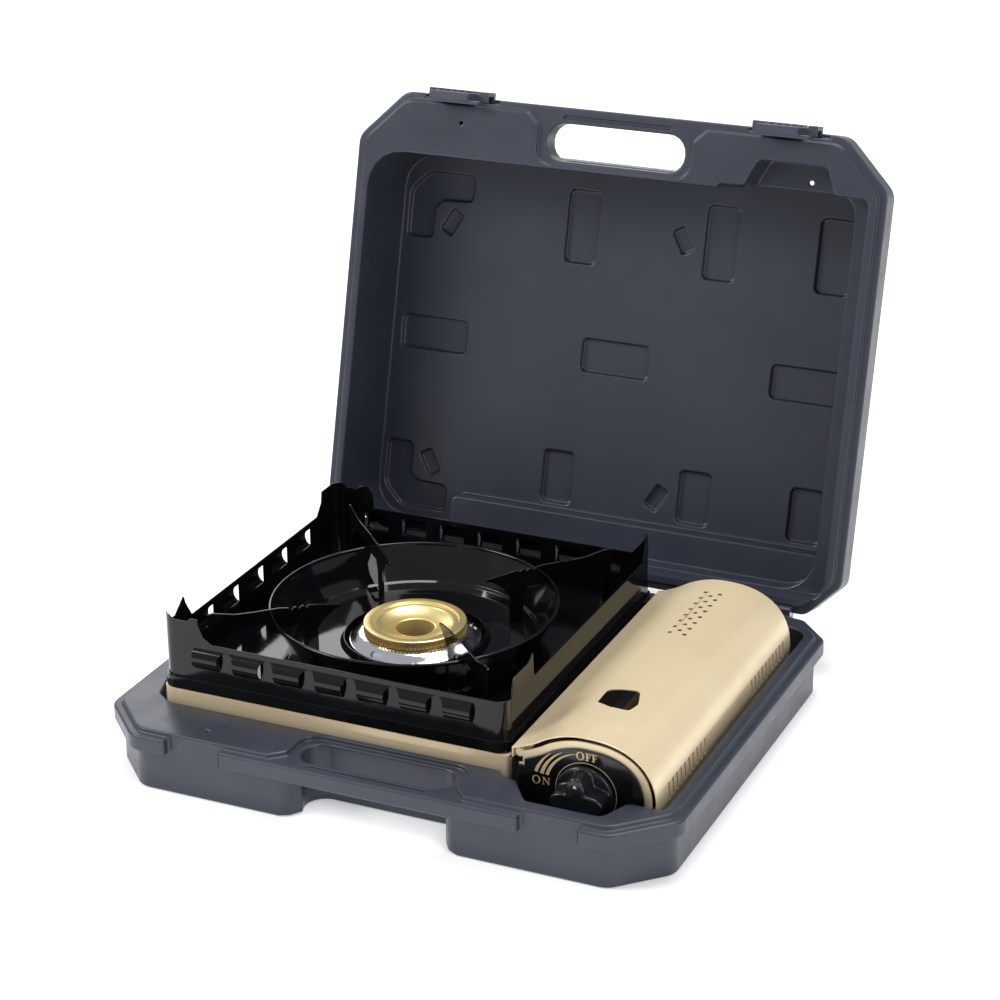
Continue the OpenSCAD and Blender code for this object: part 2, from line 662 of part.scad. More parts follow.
spindle_r = 3;
module control_knob() {
    front = knob_y - knob_h;
    color([0.07, 0.07, 0.08]) difference() {
        union() {
            rod_y(axis_x, knob_y - 4, knob_y, knob_z, knob_r);
            rod_y(axis_x, front, knob_y - 3, knob_z, 7.5);
            for (a = [0:90:270])
                translate([axis_x, 0, knob_z]) rotate([0, -a, 0]) {
                    box(0, knob_r - 6, front, knob_y - 3, -4, 4);
                    rod_y(knob_r - 6, front, knob_y - 3, 0, 4.6);
                }
        }
        rod_y(axis_x, front + 3, knob_y + 1, knob_z, spindle_r + run_gap);
    }
}
module knob_spindle() {
    color("silver") difference() {
        rod_y(axis_x, knob_y - knob_h + 3.2, reg_y0 + 12, knob_z, spindle_r);
        box(axis_x - 4, axis_x + 4, knob_y - knob_h, knob_y - 2, knob_z + 1.8, knob_z + 5);
    }
}
// spiral cam: its radius grows by plunger_travel over the knob's turn
function cam_point(a) =
    let (turned = max(0, min(1, (180 - a) / knob_turn)), r = cam_r + plunger_travel * turned)
    r * [cos(a), sin(a)];
module ignition_cam() {
    last = 180 - knob_turn - 10;
    color([0.85, 0.85, 0.82]) difference() {
        translate([axis_x, cam_y + cam_w, knob_z]) rotate([90, 0, 0]) linear_extrude(cam_w)
            polygon(concat([for (a = [186:-4:last]) cam_point(a)],
                [for (a = [last - 12:-12:-168]) cam_r * [cos(a), sin(a)]]));
        rod_y(axis_x, cam_y - 1, cam_y + cam_w + 1, knob_z, spindle_r + run_gap);
    }
}

module gas_regulator() {
    color([0.72, 0.72, 0.70]) difference() {
        union() {
            box(axis_x - 17, axis_x + 17, reg_y0, reg_y1, reg_z - 17, reg_z + 15);
            rod_y(axis_x, reg_y0 - 1.4, reg_y0 + 1, knob_z, 6.5);
            // outlet for the pipe
            rod_x(axis_x - 26, axis_x - 16, pipe_y, pipe_z, 5);
            // foot down to the pan
            box(axis_x - 12, axis_x + 12, reg_y0 + 4, reg_y1 - 2, pan_z + sheet, reg_z - 16);
        }
        rod_y(axis_x, reg_y0 - 2, reg_y0 + 12.5, knob_z, spindle_r + run_gap);
        rod_x(axis_x - 27, axis_x - 20, pipe_y, pipe_z, pipe_r + run_gap);
        rod_y(axis_x, reg_y1 - 6, reg_y1 + 1, cartridge_z, 5);
    }
}
module regulator_cap() {
    color([0.80, 0.66, 0.30]) {
        rod_x(axis_x + 17, axis_x + 21, (reg_y0 + reg_y1) / 2, reg_z - 2, 12);
        rod_x(axis_x + 21 - eps, axis_x + 23, (reg_y0 + reg_y1) / 2, reg_z - 2, 4);
    }
}
socket_y1 = reg_y1 + 7;
socket_r = 12;
module cartridge_socket() {
    color([0.78, 0.78, 0.76]) difference() {
        rod_y(axis_x, reg_y1, socket_y1, cartridge_z, 21);
        rod_y(axis_x, reg_y1 - 1, socket_y1 + 1, cartridge_z, socket_r);
        // locating notch for the cartridge's collar
        box(axis_x - 2.5, axis_x + 2.5, reg_y1 + 3, socket_y1 + 1, cartridge_z + 10, cartridge_z + 22);
    }
}
module holder_magnets() {
    color([0.35, 0.35, 0.37]) for (side = [-1, 1])
        box(axis_x + side * 26 - 4, axis_x + side * 26 + 4, reg_y1 + 1, socket_y1 + 1,
            pan_z + sheet, cartridge_z + 7);
}
rail_out = 17;       // from the cartridge's axis to each rail
rail_from = socket_y1 + 12;
rail_to = cover_y1 - 14;
module cartridge_rails() {
    color([0.6, 0.6, 0.6]) difference() {
        for (side = [-1, 1])
            box(axis_x + side * rail_out - 3, axis_x + side * rail_out + 3, rail_from, rail_to,
                pan_z + sheet, pan_z + sheet + 10);
        rod_y(axis_x, rail_from - 1, rail_to + 1, cartridge_z, cartridge_r + 0.8);
    }
}

shield_x = pan_r + 1.5;
module heat_shield() {
    color([0.62, 0.63, 0.64]) difference() {
        union() {
            box(shield_x, shield_x + sheet, panel_y + panel_t + 2, cover_y1 - 8, pan_z + sheet, pan_top - 1);
            box(shield_x, shield_x + 8, panel_y + panel_t + 2, cover_y1 - 8, pan_z + sheet, pan_z + 2 * sheet);
        }
        rod_x(shield_x - 1, shield_x + 2, pipe_y, pipe_z, pipe_r + 1);
        rod_x(shield_x - 1, shield_x + 2, pipe_y, pan_z + 12, 3);
    }
}
// plate that carries some burner heat to the cartridge
module heat_panel() {
    y0 = burner_y - 14;
    color([0.75, 0.72, 0.66]) {
        box(shield_x + sheet, shield_x + sheet + 1.2, y0, y0 + 28, pan_z + 2 * sheet + 0.2, pan_z + 26);
        box(shield_x + sheet, axis_x - rail_out - 4, y0, y0 + 28, pan_z + 2 * sheet, pan_z + 2 * sheet + 1.2);
    }
}

// ---- cartridge cover ----
vent_pitch = 9.4;
slit_pitch = 6.8;
module cartridge_cover() {
    color([0.88, 0.80, 0.64]) {
        difference() {
            slab_y(arch_outline(0, cover_z0), cover_y0, cover_y1);
            slab_y(concat([[cover_x0 + sheet, cover_z0 - 1]], arch_inner(),
                [[cover_x1 - sheet, cover_z0 - 1]]), cover_y0 - 1, cover_y1 + 1);
            // the hinge side stops above the shield
            box(cover_x0 - 1, cover_x0 + 12, cover_y0 - 1, cover_y1 + 1, cover_z0 - 1, cover_hinge_z - 3);
            // three staggered rows of vents over the cartridge
            for (row = [0:2], i = [0:7 - (row == 1 ? 1 : 0)])
                rod_z(axis_x - 7 + row * 5, cover_y1 - 21.5 - (i + (row == 1 ? 0.5 : 0)) * vent_pitch,
                    cover_top - 12, cover_top + 1, 1.6);
            // window over the cartridge's front end
            plate(rounded([[axis_x - 13, cover_y0 + 48], [axis_x - 3, cover_y0 + 43],
                [axis_x + 9.5, cover_y0 + 43], [axis_x + 11.5, cover_y0 + 54], [axis_x + 6.5, cover_y0 + 70],
                [axis_x - 13.5, cover_y0 + 66]], [3, 4, 4, 5, 4, 3]), cover_top - 14, cover_top + 1);
            // two groups of slits down the right flank
            for (from = [cover_y0 + 19, cover_y1 - 76], i = [0:9])
                box(cover_x1 - 6, cover_x1 + 1, from + i * slit_pitch, from + i * slit_pitch + 2,
                    pan_z + 29, pan_z + 40);
        }
        for (y = [panel_y + panel_t + 2.5, cover_y1 - 2.5 - panel_t - 4.5])
            cover_ear(y);
    }
}
function arch_inner() =
    let (p = arch_outline(sheet, cover_z0 - 1)) [for (i = [1:len(p) - 2]) p[i]];
ear_w = 2;
// ear inside each end of the cover, with the hole for its hinge pin
module cover_ear(y) {
    difference() {
        slab_y([[cover_x0 + sheet - 0.1, cover_hinge_z - 3], [cover_hinge_x + 4, cover_hinge_z - 3],
            [cover_hinge_x + 9, flare(0.6).y - sheet - 0.3], [cover_hinge_x + 4, flare(0.38).y - 0.3],
            [cover_x0 + sheet - 0.1, flare(0).y - 0.8]], y, y + ear_w);
        rod_y(cover_hinge_x, y - 1, y + ear_w + 1, cover_hinge_z, hinge_pin_r + run_gap);
    }
}
module cover_hinge_pins() {
    color("silver") {
        rod_y(cover_hinge_x, panel_y + 1.2, panel_y + panel_t + 6.5, cover_hinge_z, hinge_pin_r);
        rod_y(cover_hinge_x, cover_y1 - 2.5 - panel_t - 6.5, cover_y1 - 2.5 - 1.2, cover_hinge_z, hinge_pin_r);
    }
}

// ---- ignition ----
igniter_x1 = axis_x - cam_r - 6;
igniter_x0 = igniter_x1 - 20;
igniter_z0 = knob_z - 6;
module igniter_unit() {
    y0 = cam_y - 3;
    color([0.15, 0.15, 0.16]) difference() {
        union() {
            box(igniter_x0, igniter_x1, y0, y0 + 10.4, igniter_z0, igniter_z0 + 12);
            // bracket to the front panel
            box(igniter_x0 + 3, igniter_x0 + 13, panel_y + panel_t, y0 + 0.1, igniter_z0 + 2, igniter_z0 + 10);
            // blade for the lead
            box(igniter_x0 - 4, igniter_x0 + 0.1, y0 + 4, y0 + 8, igniter_z0 + 2, igniter_z0 + 6);
        }
        rod_x(igniter_x0 + 8, igniter_x1 + 1, y0 + 6, knob_z, 2.6 + run_gap);
    }
}
module igniter_plunger() {
    y = cam_y + 3;
    color([0.85, 0.2, 0.15]) {
        rod_x(igniter_x0 + 12.5, axis_x - cam_r - 1.6, y, knob_z, 2.6);
        rod_x(axis_x - cam_r - 1.6 - eps, axis_x - cam_r - 0.5, y, knob_z, 1.4);
    }
}
electrode_a = 35;
electrode_r = 38.5;
electrode_x = burner_x + electrode_r * cos(electrode_a);
electrode_y = burner_y + electrode_r * sin(electrode_a);
insulator_z0 = pan_z + 22;
module electrode_insulator() {
    color([0.93, 0.92, 0.88]) difference() {
        union() {
            rod_z(electrode_x, electrode_y, insulator_z0, cone_z + 2.5, 2.2);
            rod_z(electrode_x, electrode_y, insulator_z0 + 8, insulator_z0 + 12, 3.6);
        }
        rod_z(electrode_x, electrode_y, insulator_z0 - 1, cone_z + 9, 0.8 + run_gap);
    }
}
module spark_electrode() {
    color("silver") rod_z(electrode_x, electrode_y, insulator_z0 - 4, cone_z + 6, 0.8);
}
lead_r = 1.4;
// route of the lead, from the igniter's blade to the electrode
lead_route = [
    [igniter_x0 - 4.8, cam_y + 3, igniter_z0 + 4], [igniter_x0 - 9, cam_y + 3, igniter_z0 + 4],
    [igniter_x0 - 11, cam_y + 8, pan_z + 22], [shield_x + 7, pipe_y - 2, pan_z + 13],
    [shield_x, pipe_y, pan_z + 12], [shield_x - 10, pipe_y + 4, pan_z + 8],
    [40, -50, pan_z + 4], [10, -25, pan_z + 4],
    [electrode_x, electrode_y - 14, pan_z + 5], [electrode_x, electrode_y, pan_z + 11],
    [electrode_x, electrode_y, insulator_z0 - 4.4]];
function spline(p, i, t) =
    let (k = len(p) - 1, a = p[max(i - 1, 0)], b = p[i], c = p[i + 1], d = p[min(i + 2, k)])
    0.5 * (2 * b + (c - a) * t + (2 * a - 5 * b + 4 * c - d) * t * t + (3 * b - a - 3 * c + d) * t * t * t);
lead_steps = 6;
lead_path = [for (i = [0:len(lead_route) - 2], s = [0:lead_steps - 1]) spline(lead_route, i, s / lead_steps),
    lead_route[len(lead_route) - 1]];
function ring_at(path, i, r, sides) =
    let (k = len(path) - 1, d = unit(path[min(i + 1, k)] - path[max(i - 1, 0)]),
        side = unit(cross(d, abs(d.z) > 0.9 ? [0, 1, 0] : [0, 0, 1])), up = cross(side, d))
    [for (s = [0:sides - 1]) path[i] + r * (cos(360 * s / sides) * side + sin(360 * s / sides) * up)];
module igniter_lead() {
    sides = 8;
    n = len(lead_path);
    color([0.75, 0.1, 0.1]) polyhedron(
        [for (i = [0:n - 1]) each ring_at(lead_path, i, lead_r, sides)],
        concat([[for (s = [0:sides - 1]) s]],
            [for (i = [0:n - 2], s = [0:sides - 1])
                let (a = i * sides + s, b = i * sides + (s + 1) % sides) [a, a + sides, b + sides, b]],
            [[for (s = [sides - 1:-1:0]) (n - 1) * sides + s]]));
}
module lead_clips() {
    color("silver") for (p = [[40, -50, 135], [10, -25, 131]])
        difference() {
            box(p.x - 3, p.x + 3, p.y - 3, p.y + 3, pan_z + sheet, pan_z + 7);
            translate([p.x, p.y, pan_z + 4]) rotate([0, 0, p.z]) rotate([0, 90, 0])
                cylinder(h = 30, r = lead_r + 0.6, center = true);
        }
}

// ---- gas line ----
module gas_pipe() {
    color([0.72, 0.45, 0.25]) {
        rod_x(pipe_x + pipe_bend, axis_x - 20.5, pipe_y, pipe_z, pipe_r);
        translate([pipe_x + pipe_bend, pipe_y + pipe_bend, pipe_z]) rotate([0, 0, 180])
            rotate_extrude(angle = 90) translate([pipe_bend, 0]) circle(r = pipe_r);
        rod_y(pipe_x, pipe_y + pipe_bend, burner_y - pipe_bend, pipe_z, pipe_r);
        translate([pipe_x - pipe_bend, burner_y - pipe_bend, pipe_z])
            rotate_extrude(angle = 90) translate([pipe_bend, 0]) circle(r = pipe_r);
        rod_x(jet_x + 10, pipe_x - pipe_bend, burner_y, pipe_z, pipe_r);
    }
}
module gas_jet() {
    color([0.80, 0.66, 0.30]) difference() {
        union() {
            rod_x(jet_x, jet_x + 14, burner_y, pipe_z, 5.5);
            translate([jet_x - 6, burner_y, pipe_z]) rotate([0, 90, 0]) cylinder(h = 6 + eps, r1 = 2, r2 = 4);
        }
        rod_x(jet_x + 9, jet_x + 15, burner_y, pipe_z, pipe_r + run_gap);
        rod_x(jet_x - 7, jet_x + 10, burner_y, pipe_z, 0.6);
    }
}
module jet_bracket() {
    color([0.62, 0.63, 0.64]) difference() {
        union() {
            box(jet_x + 3, jet_x + 5, burner_y - 9, burner_y + 9, pan_z + sheet, pipe_z + 8);
            box(jet_x + 3, jet_x + 15, burner_y - 9, burner_y + 9, pan_z + sheet, pan_z + 2 * sheet + 0.5);
        }
        rod_x(jet_x + 2, jet_x + 6, burner_y, pipe_z, 5.5 + run_gap);
    }
}

// ---- burner ----
module burner_body() {
    color([0.70, 0.71, 0.72]) difference() {
        union() {
            rod_z(burner_x, burner_y, bowl_z0, bowl_top, bowl_r);
            rod_z(burner_x, burner_y, bowl_top - 2.5, bowl_top, 43.2);
            rod_x(burner_x + bowl_r - 6, jet_x - 10, burner_y, pipe_z, tube_r);
            // bell mouth
            translate([jet_x - 12, burner_y, pipe_z]) rotate([0, 90, 0])
                cylinder(h = 10, r1 = tube_r, r2 = tube_r + 3);
            // tube under the cap's centre hole, which feeds air from below
            rod_z(burner_x, burner_y, bowl_top - 1, cap_z - 2.3, cap_hole_r + 2.2);
        }
        difference() {
            rod_z(burner_x, burner_y, bowl_z0 + 2.5, bowl_top + 1, bowl_r - 2.5);
            rod_z(burner_x, burner_y, bowl_z0, cap_z, cap_hole_r + 2.2);
        }
        rod_z(burner_x, burner_y, bowl_z0 - 1, cap_z + 1, cap_hole_r);
        rod_x(burner_x + bowl_r - 7, jet_x + 1, burner_y, pipe_z, tube_r - 2.2);
        rod_z(electrode_x, electrode_y, bowl_top - 5, bowl_top + 2, 2.2 + run_gap);
        for (a = burner_screw_a)
            rod_z(burner_x + 23.5 * cos(a), burner_y + 23.5 * sin(a), bowl_z0 - 1, bowl_z0 + 4, 1.5 + run_gap);
    }
}
burner_screw_a = [90, 270];
module burner_bracket() {
    z1 = bowl_z0;
    color([0.62, 0.63, 0.64]) difference() {
        union() {
            box(burner_x - 8, burner_x + 8, burner_y - 34, burner_y + 34, z1 - 1.5, z1);
            for (side = [-1, 1]) {
                box(burner_x - 8, burner_x + 8, burner_y + side * 33.25 - 0.75, burner_y + side * 33.25 + 0.75,
                    pan_z + sheet, z1);
                box(burner_x - 8, burner_x + 8, burner_y + side * 38 - 5.5, burner_y + side * 38 + 5.5,
                    pan_z + sheet, pan_z + sheet + 1.5);
            }
        }
        rod_z(burner_x, burner_y, z1 - 3, z1 + 1, cap_hole_r - 6);
        for (a = burner_screw_a)
            rod_z(burner_x + 23.5 * cos(a), burner_y + 23.5 * sin(a), z1 - 3, z1 + 1, 1.5 + run_gap);
    }
}
module burner_screws() {
    color("silver") for (a = burner_screw_a) {
        rod_z(burner_x + 23.5 * cos(a), burner_y + 23.5 * sin(a), bowl_z0 - 1.5 - 1.2, bowl_z0 - 1.5, 2.8);
        rod_z(burner_x + 23.5 * cos(a), burner_y + 23.5 * sin(a), bowl_z0 - 1.6, bowl_z0 + 3.9, 1.5);
    }
}
// flared chrome skirt round the burner
module burner_cone() {
    color([0.85, 0.86, 0.88]) difference() {
        translate([burner_x, burner_y, cone_z]) rotate_extrude()
            polygon([[cone_r + 1, 0], [cone_r + 1, 0.8], [cone_r, 1], [cap_r + 3.6, 4.6], [cap_r + 1, 5.6],
                [cap_r - 4, 6], [cap_r - 4, 5.1], [cap_r + 1, 4.7], [cone_r - 2.4, 0]]);
        rod_z(electrode_x, electrode_y, cone_z - 1, cone_z + 8, 3);
    }
}
module burner_cap() {
    color([0.86, 0.70, 0.34]) difference() {
        translate([burner_x, burner_y, cap_z]) rotate_extrude()
            polygon([[cap_hole_r, -2], [cap_r - 6, 0], [cap_r, 0], [cap_r, cap_h - 1], [cap_r - 1, cap_h],
                [cap_r - 4, cap_h], [cap_r - 6, cap_h - 1.4], [cap_r - 10, cap_h - 3],
                [cap_hole_r + 1.5, cap_h - 4.6], [cap_hole_r, cap_h - 5.4]]);
        // flame ports cut through the skirt
        for (i = [0:port_count - 1])
            translate([burner_x, burner_y, cap_z]) rotate([0, 0, i * 360 / port_count])
                translate([cap_r - 3, -0.6, -1]) cube([5, 1.2, 3]);
    }
}

// ---- drip tray with its windshield ----
corner_r = 8;
bead_z0 = wall_top - 17.5;
bead_z1 = wall_top - 3.5;
bead_margin = 22.8;  // plain wall at each end of the louvres, front and back
side_margin = 40.5;  // plain wall at each end of the louvres on the left
flange_out = 1.9;
flange_h = 8;
function tray_outline(inset) =
    oblong(tray_l + inset, tray_r - inset, tray_f + inset, tray_b - inset, max(corner_r - inset, 1));
// each louvred wall: length, how it is turned, posts and margin
louvred = [[tray_w, [burner_x, tray_f, 0], 0, post_count, bead_margin],
    [tray_w, [burner_x, tray_b, 0], 180, post_count, bead_margin],
    [tray_d, [tray_l, burner_y, 0], -90, side_post_count, side_margin]];
module drip_tray() {
    color([0.05, 0.05, 0.055]) {
        difference() {
            plate(tray_outline(0), tray_z, ear_top);
            plate(tray_outline(tray_sheet), tray_top, ear_top + 1);
            ear_cuts();
            for (w = louvred) louvre_windows(w[0], w[1], w[2], w[3], w[4]);
            // the wind ring's dish drops into this hole
            rod_z(burner_x, burner_y, tray_z - 1, tray_top + 1, dish_r + 0.5);
        }
        // rolled flange round the foot of the walls
        difference() {
            plate(tray_outline(-flange_out), tray_z, tray_z + flange_h);
            plate(tray_outline(tray_sheet / 2), tray_z - 1, tray_z + flange_h + 1);
        }
        for (w = louvred) louvre_hoods(w[0], w[1], w[2], w[3], w[4]);
    }
}
bead_half = (bead_z1 - bead_z0) / 2;
bead_r = (bead_half * bead_half + bead_d * bead_d) / (2 * bead_d);
function louvre_pitch(wall_l, posts, margin) = (wall_l - 2 * margin + post_w) / (posts + 1);
// hoods on a wall that faces -Y: one rounded bead, parted at the posts
module louvre_hoods(wall_l, at, turn, posts, margin) {
    half = wall_l / 2 - margin;
    pitch = louvre_pitch(wall_l, posts, margin);
    translate(at) rotate([0, 0, turn]) difference() {
        intersection() {
            box(-half, half, -bead_d - 1, tray_sheet, bead_z0 - 1, bead_z1 + 1);
            difference() {
                rod_x(-half, half, bead_r - bead_d, (bead_z0 + bead_z1) / 2, bead_r);
                rod_x(-half - 1, half + 1, bead_r - bead_d, (bead_z0 + bead_z1) / 2, bead_r - tray_sheet);
            }
        }
        for (i = [0:posts - 1]) {
            x = (i - (posts - 1) / 2) * pitch;
            box(x - post_w / 2, x + post_w / 2, -bead_d - 2, tray_sheet + 1, bead_z0 - 2, bead_z1 - post_w / 2);
            rod_y(x, -bead_d - 2, tray_sheet + 1, bead_z1 - post_w / 2, post_w / 2);
        }
    }
}
module louvre_windows(wall_l, at, turn, posts, margin) {
    pitch = louvre_pitch(wall_l, posts, margin);
    w = pitch - post_w;
    translate(at) rotate([0, 0, turn]) for (i = [0:posts])
        box((i - posts / 2) * pitch - w / 2, (i - posts / 2) * pitch + w / 2, -1, tray_sheet + 1,
            bead_z0 + 0.8, bead_z1 - 0.8);
}
// cuts the walls down between the corner ears
module ear_cuts() {
    top = ear_top + 1;
    e = ear_h;
    reach = 12;
    // front: ear at the left corner only
    slab_y([[tray_l + 26, top], [tray_l + 26.5, wall_top + e * 0.75], [tray_l + 30, wall_top + e * 0.25],
        [tray_l + 36, wall_top], [tray_r - 1, wall_top], [tray_r + 1, wall_top], [tray_r + 1, top]],
        tray_f - 1, tray_f + 2);
    slab_y([[tray_l + 4, top], [tray_l + 9, ear_top - 2.5], [tray_l + 18, ear_top - 2.5], [tray_l + 22, top]],
        tray_f - 1, tray_f + 2);
    // back: ears at both corners
    slab_y([[tray_l + 29, top], [tray_l + 30, wall_top], [tray_r - 14, wall_top], [tray_r - 7, wall_top + e * 0.5],
        [tray_r - 4, ear_top - 3], [tray_r - 4, top]], tray_b - 2, tray_b + 1);
    slab_y([[tray_l + 5, top], [tray_l + 9, ear_top - 3], [tray_l + 17, ear_top - 3], [tray_l + 21, top]],
        tray_b - 2, tray_b + 1);
    // left: a spike behind the front ear, and the rear ear
    slab_x([[tray_f + 4, top], [tray_f + 9, ear_top - 8], [tray_f + 16, ear_top - 8], [tray_f + 25, ear_top - 1],
        [tray_f + 27, top]], tray_l - 1, tray_l + 2);
    slab_x([[tray_f + 27, top], [tray_f + 29, ear_top - 5], [tray_f + 36, wall_top], [tray_b - 30, wall_top],
        [tray_b - 23, wall_top + e * 0.5], [tray_b - 21.5, top]], tray_l - 1, tray_l + 2);
    // right: an ear that starts behind the corner, and the rear tip
    slab_x([[tray_f - 1, top], [tray_f - 1, wall_top], [tray_f + 8, wall_top], [tray_f + 10.5, ear_top - 5],
        [tray_f + 14, ear_top - 3.5], [tray_f + 34, ear_top - 3.5], [tray_f + 39, ear_top],
        [tray_f + 40, top]], tray_r - 2, tray_r + 1);
    slab_x([[tray_f + 40, top], [tray_f + 41, wall_top + 2], [tray_f + 42.5, wall_top], [tray_b - 14, wall_top],
        [tray_b - 11, wall_top + e * 0.6], [tray_b - 10, top]], tray_r - 2, tray_r + 1);
    // the front right corner itself is plain
    box(tray_r - reach, tray_r + 1, tray_f - 1, tray_f + 8, wall_top, top);
}

// wind ring: a pressed dish with a rolled rim, sunk in the tray
dish_r = ring_foot_r - 8;
lip_r = cone_r + 4;
hem_r = 1.3;         // rolled rim
module wind_ring() {
    t = tray_sheet;
    rim = tray_top + ring_h;
    color([0.06, 0.06, 0.065]) difference() {
        translate([burner_x, burner_y, 0]) rotate_extrude()
            polygon(concat([[lip_r, tray_top + 5], [lip_r + t, tray_top + 5], [lip_r + 3, tray_top + t + 0.1],
                [ring_foot_r - 3, tray_top + t + 0.1], [ring_foot_r - 0.6, tray_top + 5],
                [ring_foot_r + 1.5, tray_top + 6]],
                [for (a = [215:-20:-85]) [ring_r - 0.7 + hem_r * cos(a), rim - hem_r + hem_r * sin(a)]],
                [[ring_foot_r + 3.5, tray_top + 6.4], [ring_foot_r + 3.5, tray_top],
                [ring_foot_r + 2.5, tray_top], [ring_foot_r + 2.5, tray_top + 5.4],
                [ring_foot_r, tray_top + 4], [ring_foot_r - 2.6, tray_top + 0.1],
                [lip_r + 2.2, tray_top + 0.1], [lip_r, tray_top + 4]]));
        // notches that the pan supports drop into
        for (a = [45:90:315])
            translate([burner_x, burner_y, rim - 4]) rotate([0, 0, a])
                box(ring_r - 6, ring_r + 4, -support_t / 2 - 0.2, support_t / 2 + 0.2, 0, 8);
    }
}

// ---- pan supports ----
support_top = wall_top + 5.5;
// side view of a support: distance from the burner's axis, and height
function support_profile() =
    let (foot = tray_top + tray_sheet + 0.4, rim = tray_top + ring_h - 3.6, t = support_top)
    [[support_r - 6, tray_top], [support_r, tray_top], [support_r, t + 4], [support_r - 3, t + 5],
        [support_r - 6, t + 4.4], [support_r - 18, t + 1.6], [support_r - 30, t + 1],
        [ring_r - 4, t + 1], [ring_r - 10, t], [ring_r - 11.5, t - 1.6], [ring_r - 13, t],
        [ring_r - 15, t], [ring_r - 16.5, t - 1.6], [ring_r - 18, t], [ring_r - 20, t],
        [ring_r - 21.5, t - 1.6], [ring_r - 23, t], [56, t - 2.4], [50.5, t - 3.4],
        [50, t - 5.4], [54, t - 6], [62, t - 12], [66, t - 17], [66, foot], [76, foot],
        [76, t - 20], [79, t - 13], [ring_r - 6, rim], [ring_r + 2, rim], [ring_r + 4, t - 9],
        [support_r - 12, t - 9], [support_r - 6, t - 16]];
module pan_support(a) {
    foot = tray_top + tray_sheet + 0.4;
    color([0.05, 0.05, 0.055]) translate([burner_x, burner_y, 0]) rotate([0, 0, a]) {
        rotate([90, 0, 0]) translate([0, 0, -support_t / 2]) linear_extrude(support_t)
            polygon(support_profile());
        difference() {
            union() {
                box(support_r - 9, support_r - 1, support_t / 2 - 0.1, 9, tray_top, tray_top + 1.4);
                box(66, 76, support_t / 2 - 0.1, 6, foot, foot + 1.4);
            }
            rod_z(support_r - 5, 5, tray_top - 1, tray_top + 3, 1.5 + run_gap);
        }
    }
}
module pan_support_front_left() { pan_support(225); }
module pan_support_front_right() { pan_support(315); }
module pan_support_rear_left() { pan_support(135); }
module pan_support_rear_right() { pan_support(45); }
module support_rivets() {
    color([0.05, 0.05, 0.055]) for (a = [45:90:315])
        translate([burner_x, burner_y, 0]) rotate([0, 0, a]) {
            rod_z(support_r - 5, 5, tray_top, tray_top + 2.2, 1.5);
            rod_z(support_r - 5, 5, tray_top + 1.4, tray_top + 2.6, 2.6);
        }
}

case_base();
case_lid();
case_hinge_pins();
latch_left();
latch_right();
body_pan();
front_panel();
rear_panel();
control_fascia();
control_knob();
knob_spindle();
ignition_cam();
gas_regulator();
regulator_cap();
cartridge_socket();
holder_magnets();
cartridge_rails();
heat_shield();
heat_panel();
cartridge_cover();
cover_hinge_pins();
igniter_unit();
igniter_plunger();
igniter_lead();
electrode_insulator();
spark_electrode();
gas_pipe();
gas_jet();
jet_bracket();
burner_body();
burner_bracket();
burner_cone();
burner_cap();
drip_tray();
wind_ring();
pan_support_front_left();
pan_support_front_right();
pan_support_rear_left();
pan_support_rear_right();
support_rivets();
rubber_feet();
foot_screws();
fascia_screws();
rear_panel_screws();
burner_screws();
lead_clips();
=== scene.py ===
import json
from math import cos, pi, radians, sin, tan

import bmesh
import bpy
from mathutils import Matrix, Vector
from mathutils.geometry import delaunay_2d_cdt


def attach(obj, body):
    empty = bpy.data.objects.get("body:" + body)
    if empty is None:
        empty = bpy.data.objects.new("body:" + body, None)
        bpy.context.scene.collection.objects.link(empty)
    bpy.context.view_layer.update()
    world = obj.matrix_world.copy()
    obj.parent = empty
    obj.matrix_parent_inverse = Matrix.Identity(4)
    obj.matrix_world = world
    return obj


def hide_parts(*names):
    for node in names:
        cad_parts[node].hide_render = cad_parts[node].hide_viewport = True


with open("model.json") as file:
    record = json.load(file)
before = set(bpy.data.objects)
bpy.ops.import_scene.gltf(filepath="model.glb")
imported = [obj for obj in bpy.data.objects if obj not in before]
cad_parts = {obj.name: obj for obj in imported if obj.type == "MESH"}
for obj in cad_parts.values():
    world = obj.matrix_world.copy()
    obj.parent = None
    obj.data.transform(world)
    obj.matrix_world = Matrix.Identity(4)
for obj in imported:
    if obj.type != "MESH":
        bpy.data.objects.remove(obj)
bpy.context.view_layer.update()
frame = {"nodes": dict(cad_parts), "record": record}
nodes = frame["nodes"]
record = frame["record"]
bodyOf = {n: b for b, members in record["behaviour"]["bodies"].items() for n in members}
slotOf = {part["node"]: part["material_slot"] for part in record["subparts"]}
print("frame loaded:", len(nodes), "nodes")

mm = 0.001
flatTurn = radians(0.6)                       # faces turned less than this count as one flat
mergeGap = 0.004 * mm                         # points closer than this are one
burnerX, burnerY = -43.9 * mm, 6.35 * mm      # the burner's axis
knobX, knobZ = 130.5 * mm, 40.6 * mm          # the knob's axis
fasciaY = -120.15 * mm                        # front face of the black fascia


def addObject(name, data):
    made = bpy.data.objects.new(name, data)
    bpy.context.scene.collection.objects.link(made)
    return made


def dropObject(item):
    data = item.data
    bpy.data.objects.remove(item)
    bpy.data.meshes.remove(data)


def meshObject(mesh, name):
    # turns a bmesh into an object of the scene
    data = bpy.data.meshes.new(name)
    mesh.to_mesh(data)
    mesh.free()
    return addObject(name, data)


def evaluatedMesh(item):
    # a bmesh of the object as its modifiers leave it
    result = bmesh.new()
    result.from_mesh(item.evaluated_get(bpy.context.evaluated_depsgraph_get()).to_mesh())
    return result


# ---- camera ----
photoView = {
    "focal": 97.285,        # mm on a 36 mm sensor
    "azimuth": 24.65, "elevation": 22.88, "roll": -0.69,
    "place": (0.67552, -1.42558, 0.82694),
}


